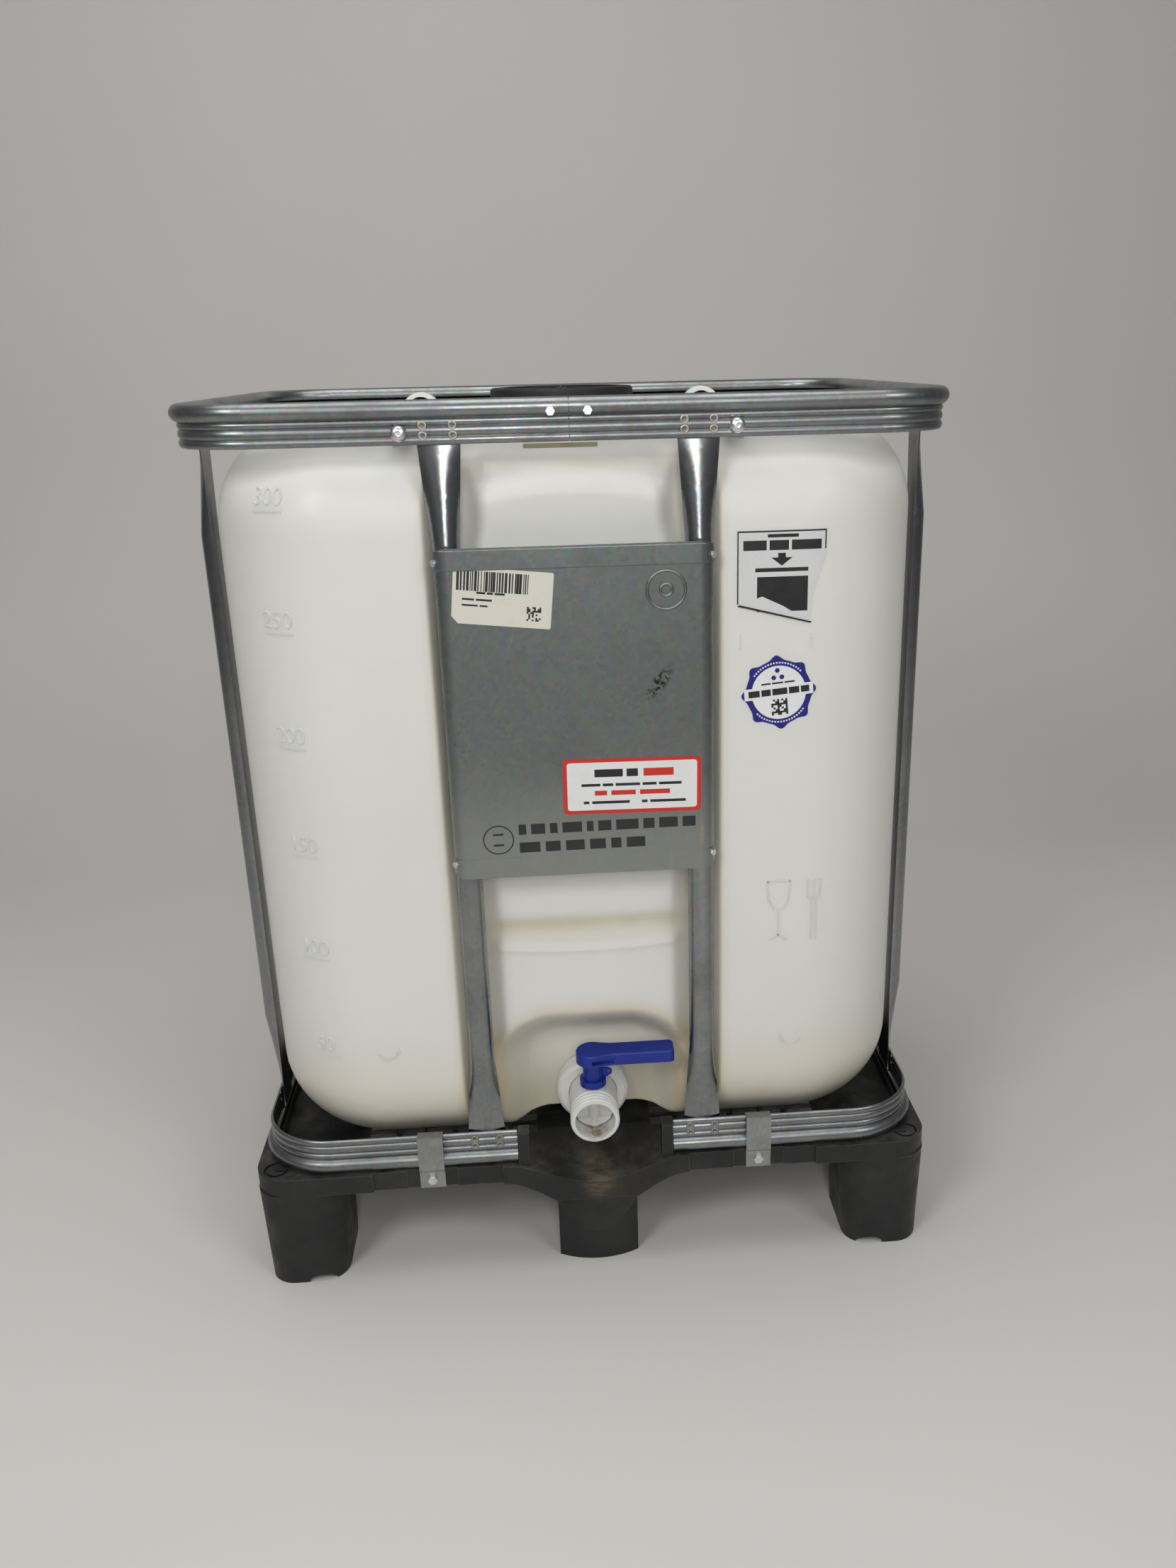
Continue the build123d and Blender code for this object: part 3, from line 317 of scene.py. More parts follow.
    def bump(self, height, strength, distance):
        node = self.nodes.new("ShaderNodeBump")
        node.inputs["Strength"].default_value = strength
        node.inputs["Distance"].default_value = distance
        self.join(height, node.inputs["Height"])
        self.join(node.outputs["Normal"], self.shader.inputs["Normal"])


def milky_plastic():
    """Blow-moulded polyethylene, yellowed, with painted shade where the surface turns in."""
    settings = bpy.context.scene.container_bottle
    f = Finish("milky_bottle_plastic")
    f.set(Subsurface_Weight=0.22, Subsurface_Radius=(0.030, 0.024, 0.016), Subsurface_Scale=0.6, IOR=1.51,
          Specular_IOR_Level=0.42)
    # The attribute mixes yellowed plastic with painted shade in the gutters, the groove, the valley under the rim and
    # under the recess's brow.
    yellowing_and_shade = f.attribute("yellowing_and_shade")
    cloud = f.noise(9.0, 5.0, 0.6)
    amount = f.math("MULTIPLY", yellowing_and_shade, f.step(cloud, 0.25, 0.75, 0.65, 1.15))
    clean = f.mix(f.step(f.noise(3.2, 3.0), 0.35, 0.7), settings.colour, (0.765, 0.755, 0.700))
    aged_and_shade = f.mix(amount, clean, settings.aged_and_shade)
    specks = f.step(f.cells(34.0, f.scaled((1, 1, 0.8))), 0.035, 0.010)
    rare = f.step(f.noise(13.0, 1.0), 0.56, 0.62)
    dotted = f.mix(f.math("MULTIPLY", f.math("MULTIPLY", specks, rare), 0.55), aged_and_shade, (0.20, 0.19, 0.15))
    scuff = f.noise(60.0, 6.0, 0.75, f.scaled((1, 1, 0.25)))
    f.colour(f.mix(f.step(scuff, 0.62, 0.80, 0.0, 0.10), dotted, (0.45, 0.44, 0.40)))
    f.roughness(f.step(f.noise(22.0, 4.0), 0.3, 0.7, 0.34, 0.52))
    f.bump(f.math("ADD", f.noise(28.0, 3.0), f.math("MULTIPLY", scuff, 0.15)), 0.25, 0.0012)
    return f.material


def galvanised(name, colour, weathered, rough, streak=(1, 1, 1), wear=0.45, marks_and_light=None, grain=0.04):
    """Zinc-coated steel: soft spangle, drawn streaks, dull patches and small dark pits."""
    f = Finish(name)
    f.set(Metallic=1.0)
    drawn = f.noise(30.0, 5.0, 0.6, f.scaled(streak))
    patch = f.noise(7.0, 5.0, 0.62, None, 0.4)
    spangle = f.cells(210.0, None, "Color")
    base = f.mix(f.step(patch, 0.42, 0.72, 0.0, wear), colour, weathered)
    base = f.mix(f.step(drawn, 0.35, 0.75, 0.0, 0.35), base, weathered)
    base = f.mix(0.10, base, spangle, "OVERLAY")
    pits = f.math("MULTIPLY", f.step(f.cells(85.0), 0.10, 0.04), f.step(f.noise(17.0, 2.0), 0.58, 0.66))
    base = f.mix(f.math("MULTIPLY", pits, 0.8), base, (0.05, 0.047, 0.042))
    if marks_and_light:
        base = marks_and_light(f, base)
    f.colour(base)
    uneven = f.math("ADD", f.math("MULTIPLY", patch, 0.6), f.math("MULTIPLY", drawn, 0.4))
    f.roughness(f.step(uneven, 0.3, 0.7, *rough))
    f.bump(f.math("ADD", drawn, f.math("MULTIPLY", patch, 0.5)), grain, 0.0008)
    return f.material


def plate_marks_and_light(f, base):
    """Dark scuff, a yellow streak, light rubbed lines and painted light on the identification plate, lighter towards
    its lower part.
    """
    scuffed = f.spot((0.083, PLATE_FACE, 0.722), 0.35, 1.0, (0.010, 0.03, 0.026), (0, math.radians(38), 0))
    scuffed = f.math("MULTIPLY", scuffed, f.step(f.noise(180.0, 5.0, 0.7), 0.47, 0.54))
    base = f.mix(f.math("MULTIPLY", scuffed, 0.9), base, (0.012, 0.011, 0.014))
    streak = f.spot((0.1268, PLATE_FACE, 0.553), 0.3, 1.0, (0.0035, 0.03, 0.017))
    base = f.mix(f.math("MULTIPLY", streak, f.step(f.noise(150.0, 3.0), 0.35, 0.55)), base, (0.62, 0.42, 0.05))
    # Painted light: the plate turns lighter towards its lower part.
    base = f.mix(f.step(f.axis("Z"), 0.66, 0.53, 0.0, 0.75), base, (0.36, 0.375, 0.35))
    rubbed = f.noise(44.0, 6.0, 0.7, f.scaled((1.6, 1, 0.35)), 1.2)
    return f.mix(f.step(rubbed, 0.60, 0.78, 0.0, 0.30), base, (0.62, 0.62, 0.60))


def pallet_plastic():
    """Scuffed black recycled plastic with dust on its faces, worn edges and dried drips in the tray."""
    settings = bpy.context.scene.container_plastic
    f = Finish("scuffed_black_plastic")
    f.set(Specular_IOR_Level=0.45)
    cloud = f.noise(6.5, 6.0, 0.65, None, 0.3)
    scratch = f.noise(50.0, 6.0, 0.75, f.scaled((1, 1, 0.22)), 0.6)
    surface = f.nodes.new("ShaderNodeNewGeometry")
    tilt = f.nodes.new("ShaderNodeSeparateXYZ")
    f.join(surface.outputs["Normal"], tilt.inputs["Vector"])
    lying = f.step(tilt.outputs["Z"], 0.3, 0.95)
    base = f.mix(f.step(cloud, 0.40, 0.75, 0.0, 0.45), settings.pallet, (0.030, 0.030, 0.030))
    settled = f.math("ADD", f.math("MULTIPLY", lying, 0.22), 0.035)
    dusty = f.math("MULTIPLY", f.step(f.noise(16.0, 6.0, 0.7), 0.40, 0.72), settled)
    base = f.mix(dusty, base, settings.dust)
    base = f.mix(f.step(scratch, 0.63, 0.80, 0.0, 0.26), base, (0.12, 0.12, 0.116))
    wet = f.spot((0.020, -0.285, 0.122), 0.25, 1.0, (0.060, 0.070, 0.05))
    smear = f.noise(26.0, 6.0, 0.7, f.scaled((1.4, 0.5, 0.5)), 1.6)
    base = f.mix(f.math("MULTIPLY", wet, f.step(smear, 0.42, 0.62, 0.10, 0.60)), base, (0.045, 0.036, 0.022))
    drip = f.spot((0.002, -0.288, 0.118), 0.30, 1.0, (0.026, 0.060, 0.034))
    ripple = f.noise(60.0, 4.0, 0.6, f.scaled((0.5, 1, 3.2)), 0.8)
    base = f.mix(f.math("MULTIPLY", drip, f.step(ripple, 0.38, 0.60, 0.15, 0.70)), base, (0.125, 0.100, 0.056))
    worn = f.math("MULTIPLY", f.edges(0.0016), f.step(cloud, 0.35, 0.6, 0.10, 0.42))
    base = f.mix(worn, base, (0.19, 0.19, 0.185))
    f.colour(base)
    f.roughness(f.step(f.noise(30.0, 5.0), 0.3, 0.7, 0.36, 0.60))
    f.bump(f.math("ADD", f.noise(120.0, 4.0, 0.7), scratch), 0.35, 0.0007)
    return f.material


def moulded(name, colour, worn, rough=(0.35, 0.5), subsurface=0.0, grain=0.3, stain=None):
    """Small moulded plastic part with mottling, rubbed edges and fine grain."""
    f = Finish(name)
    f.set(Subsurface_Weight=subsurface, Subsurface_Radius=(0.010, 0.009, 0.007), Subsurface_Scale=0.5)
    cloud = f.noise(40.0, 5.0, 0.6)
    scratch = f.noise(120.0, 6.0, 0.75, f.scaled((0.35, 1, 1)), 0.8)
    base = f.mix(f.step(cloud, 0.4, 0.75, 0.0, 0.35), colour, worn)
    base = f.mix(f.step(scratch, 0.64, 0.80, 0.0, 0.5), base, worn)
    base = f.mix(f.math("MULTIPLY", f.edges(0.0009), 0.35), base, worn)
    if stain:
        base = stain(f, base)
    f.colour(base)
    f.roughness(f.step(cloud, 0.3, 0.7, *rough))
    f.bump(f.math("ADD", f.noise(220.0, 3.0), scratch), grain, 0.0004)
    return f.material


def bore_stain(f, base):
    """Brown deposit on the floor of the outlet."""
    low = f.spot((0.002, SPINDLE_FRONT - 0.008, VALVE_Z - VALVE_BORE), 0.2, 1.0, (0.022, 0.034, 0.016))
    deposit = f.math("MULTIPLY", low, f.step(f.noise(130.0, 5.0, 0.7), 0.35, 0.62, 0.25, 0.95))
    return f.mix(deposit, base, (0.22, 0.155, 0.075))


def printed(name, colour, rough=0.38, dirt=0.25):
    """Sticker stock or ink, slightly soiled."""
    f = Finish(name)
    cloud = f.noise(38.0, 6.0, 0.7)
    base = f.mix(f.step(cloud, 0.42, 0.78, 0.0, dirt), colour, tuple(c * 0.72 for c in colour))
    rub = f.noise(300.0, 3.0, 0.7)
    f.colour(f.mix(f.step(rub, 0.68, 0.78, 0.0, 0.35), base, (0.55, 0.54, 0.50)))
    f.roughness(f.step(cloud, 0.3, 0.7, rough - 0.06, rough + 0.12))
    f.bump(cloud, 0.1, 0.0003)
    return f.material


def burnt_weld():
    """Spot weld: bright scoured rim round a brown, burnt middle."""
    f = Finish("burnt_spot_weld")
    f.set(Metallic=1.0)
    burn = f.attribute("burn")
    blotch = f.noise(260.0, 5.0, 0.7)
    dark = f.mix(f.step(blotch, 0.40, 0.60), (0.10, 0.075, 0.045), (0.34, 0.30, 0.22))
    f.colour(f.mix(f.math("MULTIPLY", burn, f.step(blotch, 0.25, 0.60, 0.55, 1.0)), (0.50, 0.51, 0.50), dark))
    f.roughness(f.step(burn, 0.0, 1.0, 0.30, 0.62))
    f.bump(blotch, 0.6, 0.0006)
    return f.material


# ------------------------------------------------------------------ mesh helpers
def add_object(name, mesh, materials, smooth=True):
    piece = bpy.data.objects.new(name, mesh)
    bpy.context.scene.collection.objects.link(piece)
    for material in materials:
        mesh.materials.append(material)
    if smooth:
        mesh.shade_smooth()
    return piece


def finish_piece(piece, slot, *replaced, body="container"):
    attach(piece, body)
    if replaced:
        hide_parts(*replaced)
    return piece


def smooth_step(value, low, high):
    t = np.clip((value - low) / (high - low), 0.0, 1.0)
    return t * t * (3.0 - 2.0 * t)


def smooth_max(a, b, reach):
    h = np.clip(reach - np.abs(a - b), 0.0, None) / reach
    return np.maximum(a, b) + h * h * reach / 4.0


def stretches(*parts):
    """Rising stations through (start, end, count) stretches, each end shared with the next start."""
    runs = [np.linspace(start, end, count, endpoint=False) for start, end, count in parts]
    return np.concatenate([*runs, [parts[-1][1]]])


def lathe(profile, sides, place):
    """Closed ring of (radius, height) points turned about the local Z axis, as vertices and faces."""
    turns = np.linspace(0, 2 * math.pi, sides, endpoint=False)
    vertices = [place @ Vector((r * math.cos(t), r * math.sin(t), h)) for t in turns for r, h in profile]
    count = len(profile)
    faces = [
        (i * count + j, ((i + 1) % sides) * count + j, ((i + 1) % sides) * count + (j + 1) % count,
         i * count + (j + 1) % count)
        for i in range(sides) for j in range(count)
    ]
    return vertices, faces


# ------------------------------------------------------------------ bottle
def edge_reach(z):
    """How far the outline stands from the core rectangle at each height."""
    low = np.clip(BASE_Z + EDGE - z, 0.0, EDGE)
    high = np.clip(z - (SHOULDER_Z - EDGE), 0.0, EDGE)
    drop = np.maximum(low, high)
    return CORNER - EDGE + np.sqrt(EDGE**2 - drop**2)


def lobe_point(s, z, lift):
    """Point on the bottle's front by arc length from the middle and by height, lifted off the surface."""
    turn = max(abs(s) - CORE_X, 0.0) / CORNER
    side = math.copysign(1.0, s)
    reach = float(edge_reach(np.array(z))) + lift
    x = side * (min(abs(s), CORE_X) + reach * math.sin(turn))
    return Vector((x, -CORE_Y - reach * math.cos(turn), z))


def groove_profile(z):
    """Depth of the panel's cross groove and the ridge under it."""
    profile = np.array([
        (350, 0.0), (385, 0.5), (398, 0.4), (401.5, -0.2), (404.5, -1.2), (408, -0.2), (415, 2.0),
        (427, 4.8), (435, 6.0), (440, 5.4), (450, 2.2), (470, 0.4), (500, 0.0),
    ]) * MM
    return np.interp(z, profile[:, 0], profile[:, 1], left=0.0, right=0.0)


def channel_floor(x, z):
    """How far back the front or rear face lies in the channel between the lobes."""
    across = np.abs(x)
    depth = -0.030 + (0.030 + CHANNEL_DEPTH) * smooth_step(across, CHANNEL_WALL + 0.010, CHANNEL_WALL - 0.012)
    edge = PANEL_EDGE - 0.012 * smooth_step(z, 0.84, 0.885)
    gutter = smooth_step(across, edge - 0.012, edge + 0.012) * smooth_step(z, 0.955, 0.915)
    depth = depth + GUTTER_DEPTH * gutter
    inside = smooth_step(across, edge + 0.006, edge - 0.010)
    brow = smooth_step(z + 0.017 * (across / PANEL_EDGE) ** 2, BLOCK_TOP - 0.008, BLOCK_TOP + 0.014)
    depth = depth + 0.009 * inside * brow
    ridge_bow = 0.0055 * (x / PANEL_EDGE) ** 2
    depth = depth + inside * groove_profile(z - ridge_bow * smooth_step(z, 0.44, 0.41))
    crown = np.cos(np.clip(across / PANEL_EDGE, 0, 1) * math.pi / 2)
    return depth - 0.0018 * inside * crown


def recess_distance(x, z):
    """Distance outside the arched valve recess, negative inside it."""
    dx = np.abs(x) - (RECESS_HALF - RECESS_ROUND)
    dz = z - (RECESS_TOP - RECESS_ROUND)
    outside = np.hypot(np.maximum(dx, 0), np.maximum(dz, 0))
    return outside + np.minimum(np.maximum(dx, dz), 0) - RECESS_ROUND


def bottle_surface(points):
    """Pushes the channels, the valve recess and the raised floor into the plain rounded box."""
    x, y, z = points[..., 0], points[..., 1].copy(), points[..., 2].copy()
    recess = smooth_step(recess_distance(x, z), 0.006, -0.046)
    depth = channel_floor(x, z)
    front = depth + recess * (RECESS_DEPTH - depth)
    pit = smooth_step(np.hypot(x, z - VALVE_Z), VALVE_BORE + 0.007, VALVE_BORE + 0.001)
    front = front + 0.06 * pit
    y = np.where(points[..., 1] < 0, smooth_max(y, -HALF_DEPTH + front, 0.012), y)
    y = np.where(points[..., 1] > 0, -smooth_max(-y, -HALF_DEPTH + depth, 0.012), y)
    lifted = BASE_Z + 0.026 * smooth_step(np.abs(x), 0.126, 0.050) * smooth_step(y, -0.120, -0.150)
    z = np.where((z < 0.20) & (lifted > BASE_Z + 0.0005), smooth_max(z, lifted, 0.010), z)
    crossbar_seat = 0.0030 * np.exp(-(((np.abs(x) - 0.164) / 0.013) ** 4))
    z = np.where((z > SHOULDER_Z - 0.004) & (np.hypot(x, y) > NECK_RADIUS + 0.02), z - crossbar_seat, z)
    return np.stack([x, y, z], -1)


def bottle_yellowing_and_shade(points):
    """Yellowing and painted shade: darker and yellower low down and on the top face, tinted inside the recess,
    painted shade with some yellowing in the gutters and the groove, and painted shade in the valley under the rim and
    under the recess's brow.
    """
    x, y, z = points[..., 0], points[..., 1], points[..., 2]
    across = np.abs(x)
    facing = smooth_step(np.abs(y), 0.16, 0.21)
    low = 0.62 * smooth_step(z, 0.34, 0.17)
    # Gutters beside the posts: painted shade, with some yellowing.
    gutter = 0.30 * smooth_step(across, 0.094, 0.112) * smooth_step(across, 0.162, 0.150) * facing
    panel = smooth_step(across, 0.125, 0.10) * facing
    # Cross groove: painted shade with some yellowing; valley under the rim: painted shade.
    groove = 0.62 * np.exp(-(((z - 0.437) / 0.009) ** 2)) + 0.25 * np.exp(-(((z - 0.422) / 0.016) ** 2))
    groove = groove + 0.30 * np.exp(-(((z - 0.940) / 0.010) ** 2))
    # Under the recess's brow: painted shade; inside the recess: a tint.
    brow = 0.62 * np.exp(-((recess_distance(x, z) / 0.014) ** 2)) * (y < 0)
    cove = 0.14 * smooth_step(recess_distance(x, z), 0.0, -0.02) * (y < 0)
    top = 0.35 * smooth_step(z, 0.972, 0.984)
    return np.clip(low + gutter + panel * groove + (brow + cove) * facing + top, 0.0, 1.0)


def bottle_stations():
    """Anchors on the core rectangle and outward directions, once round from the front's left end."""
    across = stretches((-CORE_X, -0.168, 16), (-0.168, -0.132, 22), (-0.132, -0.090, 18), (-0.090, 0.090, 66),
                       (0.090, 0.132, 18), (0.132, 0.168, 22), (0.168, CORE_X, 16))
    along = np.linspace(-CORE_Y, CORE_Y, 14)
    behind = stretches((CORE_X, 0.168, 8), (0.168, 0.090, 26), (0.090, -0.090, 24), (-0.090, -0.168, 26),
                       (-0.168, -CORE_X, 8))
    turn = np.linspace(0, math.pi / 2, 20)[1:-1]
    run = [((x, -CORE_Y), (0, -1)) for x in across]
    run += [((CORE_X, -CORE_Y), (math.sin(a), -math.cos(a))) for a in turn]
    run += [((CORE_X, y), (1, 0)) for y in along]
    run += [((CORE_X, CORE_Y), (math.cos(a), math.sin(a))) for a in turn]
    run += [((x, CORE_Y), (0, 1)) for x in behind]
    run += [((-CORE_X, CORE_Y), (-math.sin(a), math.cos(a))) for a in turn]
    run += [((-CORE_X, y), (-1, 0)) for y in -along]
    run += [((-CORE_X, -CORE_Y), (-math.cos(a), -math.sin(a))) for a in turn]
    anchors, outward = zip(*run)
    return np.array(anchors, float), np.array(outward, float)


def level_ring(flat, z):
    """Ring of points all at one height."""
    return np.column_stack([flat, np.full(len(flat), z)])


def bottle_rings():
    """All rings of the bottle from the middle of its base to the bottom of the well in its neck."""
    anchors, outward = bottle_stations()
    rings = [level_ring(anchors * share, BASE_Z) for share in (0.02, 0.35, 0.7)]
    rings += [level_ring(anchors + outward * reach, BASE_Z) for reach in (0.0, 0.012, 0.024)]
    for turn in np.linspace(0, math.pi / 2, 18):
        reach = CORNER - EDGE + EDGE * math.sin(turn)
        rings.append(level_ring(anchors + outward * reach, BASE_Z + EDGE - EDGE * math.cos(turn)))
    levels = stretches((BASE_Z + EDGE, 0.345, 42), (0.345, 0.396, 14), (0.396, 0.446, 34), (0.446, 0.50, 12),
                       (0.50, SHOULDER_Z - EDGE, 56))
    rings += [level_ring(anchors + outward * CORNER, z) for z in levels[1:-1]]
    for turn in np.linspace(0, math.pi / 2, 32):
        reach = CORNER - EDGE + EDGE * math.cos(turn)
        rings.append(level_ring(anchors + outward * reach, SHOULDER_Z - EDGE + EDGE * math.sin(turn)))
    rings += [level_ring(anchors + outward * reach, SHOULDER_Z) for reach in (0.024, 0.012, 0.0)]
    spokes = anchors + outward * 0.030
    spokes = spokes / np.linalg.norm(spokes, axis=1)[:, None]
    foot = 0.094
    for share in (0.25, 0.5, 0.75, 1.0):
        rings.append(level_ring(anchors * (1 - share) + spokes * foot * share, SHOULDER_Z))
    neck = [(0.088, 0.9835), (0.083, 0.985), (NECK_RADIUS + 0.001, 0.9868), (NECK_RADIUS, 0.988)]
    for z in np.linspace(THREAD_FOOT, NECK_TOP - 0.001, 12):
        crest = max(0.0, math.sin((z - THREAD_FOOT) / THREAD_PITCH * 2 * math.pi))
        neck.append((NECK_RADIUS + 0.0010 * crest, z))
    neck += [(NECK_RADIUS - 0.001, NECK_TOP), (NECK_BORE + 0.001, NECK_TOP), (NECK_BORE, NECK_TOP - 0.001),
             (NECK_BORE, 0.97), (NECK_BORE, 0.90), (NECK_BORE, 0.82), (0.05, 0.80), (0.02, 0.80)]
    rings += [level_ring(spokes * radius, z) for radius, z in neck]
    return np.array(rings)


def grid_faces(rows, columns):
    """Quads between closed rings."""
    index = np.arange(rows * columns).reshape(rows, columns)
    around = np.roll(index, -1, axis=1)
    quads = np.stack([index[:-1], around[:-1], around[1:], index[1:]], -1)
    return quads.reshape(-1, 4).tolist()


def outlet_neck():
    """Threaded neck that the union nut and the valve's flange are clamped on."""
    back, front = -0.150, -(HALF_DEPTH - 0.059)
    profile = [(VALVE_BORE, back), (VALVE_BORE, front), (OUTLET_NECK - 0.001, front), (OUTLET_NECK, front + 0.001),
               (OUTLET_NECK, -0.200), (VALVE_BORE + 0.003, -0.195), (VALVE_BORE + 0.003, back)]
    turned = Matrix.Translation((0, 0, VALVE_Z)) @ Matrix.Rotation(math.radians(-90), 4, "X")
    return lathe(profile, 72, turned)


class CONTAINER_OT_bottle(bpy.types.Operator):
    """Build the milky bottle with its channels, valve recess and necks"""

    bl_idname = "container.bottle"
    bl_label = "Bottle"

    def execute(self, context):
        rings = bottle_rings()
        rows, columns = rings.shape[:2]
        shaped = bottle_surface(rings)
        # Per-vertex mix of yellowed plastic and painted shade.
        yellowing_and_shade = bottle_yellowing_and_shade(shaped).reshape(-1)
        vertices = shaped.reshape(-1, 3).tolist()
        faces = grid_faces(rows, columns)
        for ring, flip in ((0, True), (rows - 1, False)):
            cap = list(range(ring * columns, (ring + 1) * columns))
            faces.append(cap[::-1] if flip else cap)
        neck_vertices, neck_faces = outlet_neck()
        offset = len(vertices)
        vertices += [tuple(v) for v in neck_vertices]
        faces += [tuple(offset + i for i in face) for face in neck_faces]
        mesh = bpy.data.meshes.new("bottle_shell")
        mesh.from_pydata(vertices, [], faces)
        values = np.concatenate([yellowing_and_shade, np.full(len(neck_vertices), 0.45)]).astype(np.float32)
        mesh.attributes.new("yellowing_and_shade", "FLOAT", "POINT").data.foreach_set("value", values)
        mesh.update()
        piece = add_object("bottle_shell", mesh, [milky_plastic()])
        finish_piece(piece, "bottle_plastic", "bottle")
        return {"FINISHED"}


# ------------------------------------------------------------------ flat art laid on curved faces
def outline_mesh(shapes):
    """Mesh of extruded flat outlines: each shape is (points, bottom, top, material index)."""
    made = bmesh.new()
    for points, bottom, top, index in shapes:
        floor = [made.verts.new((u, v, bottom)) for u, v in points]
        roof = [made.verts.new((u, v, top)) for u, v in points]
        count = len(points)
        faces = [made.faces.new(roof), made.faces.new(floor[::-1])]
        for i in range(count):
            j = (i + 1) % count
            faces.append(made.faces.new((floor[i], floor[j], roof[j], roof[i])))
        for face in faces:
            face.material_index = index
    return made


def slice_across(made, pitch):
    """Cuts the mesh by upright planes so that it can follow a curve across."""
    low = min(v.co.x for v in made.verts)
    high = max(v.co.x for v in made.verts)
    steps = int((high - low) / pitch)
    for i in range(1, steps + 1):
        everything = made.verts[:] + made.edges[:] + made.faces[:]
        bmesh.ops.bisect_plane(made, geom=everything, plane_co=(low + i * (high - low) / (steps + 1), 0, 0),
                               plane_no=(1, 0, 0))


def laid(name, made, place, materials, smooth=False):
    """Object from flat art whose every vertex is sent to the surface by place(u, v, height)."""
    for vertex in made.verts:
        vertex.co = place(*vertex.co)
    bmesh.ops.recalc_face_normals(made, faces=made.faces)
    mesh = bpy.data.meshes.new(name)
    made.to_mesh(mesh)
    made.free()
    return add_object(name, mesh, materials, smooth)


def rounded(width, height, radius, middle=(0, 0), steps=5):
    """Outline of a rectangle with rounded corners."""
    points = []
    for cx, cy, start in ((1, -1, -90), (1, 1, 0), (-1, 1, 90), (-1, -1, 180)):
        for i in range(steps + 1):
            turn = math.radians(start + 90 * i / steps)
            points.append((middle[0] + cx * (width / 2 - radius) + radius * math.cos(turn),
                           middle[1] + cy * (height / 2 - radius) + radius * math.sin(turn)))
    return points


def bar(x, y, width, height):
    """Outline of a plain bar by its middle."""
    return [(x - width / 2, y - height / 2), (x + width / 2, y - height / 2),
            (x + width / 2, y + height / 2), (x - width / 2, y + height / 2)]


def disc(radius, sides=48, middle=(0, 0)):
    turns = [2 * math.pi * i / sides for i in range(sides)]
    return [(middle[0] + radius * math.cos(t), middle[1] + radius * math.sin(t)) for t in turns]


def dashes(start, y, height, widths, gap):
    """Row of plain blocks of different widths, from left to right."""
    row = []
    for width in widths:
        row.append(bar(start + width / 2, y, width, height))
        start += width + gap
    return row


def turned_place(across, up, turn, put):
    """Turns flat art in its own plane, moves it to its middle and hands each point on to put."""
    cosine, sine = math.cos(turn), math.sin(turn)
    return lambda u, v, h: put(across + u * cosine - v * sine, up + u * sine + v * cosine, h)


def on_plate(x, z, turn=0.0):
    """Places flat art on the plate's front face."""
    return turned_place(x, z, turn, lambda u, v, h: Vector((u, PLATE_FACE - 0.0001 - h, v)))


def on_bottle(s, z, turn=0.0):
    """Places flat art on the bottle's front by arc length and height."""
    return turned_place(s, z, turn, lobe_point)


def on_channel(x, z):
    """Places flat art on the bottle's front between the lobes."""
    def place(u, v, h):
        plain = np.array([[x + u, -CORE_Y - float(edge_reach(np.array(z + v))), z + v]])
        return Vector(bottle_surface(plain)[0]) + Vector((0, -h, 0))
    return place


def sticker(name, outline, prints, place, materials, body_slot, pitch=None):
    """Sticker stock with printed shapes standing an ink's thickness on it."""
    shapes = [(outline, 0.0, SHEET, 0)]
    shapes += [(points, SHEET * 0.5, SHEET + INK, index) for index, points in prints]
    made = outline_mesh(shapes)
    if pitch:
        slice_across(made, pitch)
    return finish_piece(laid(name, made, place, materials), body_slot)


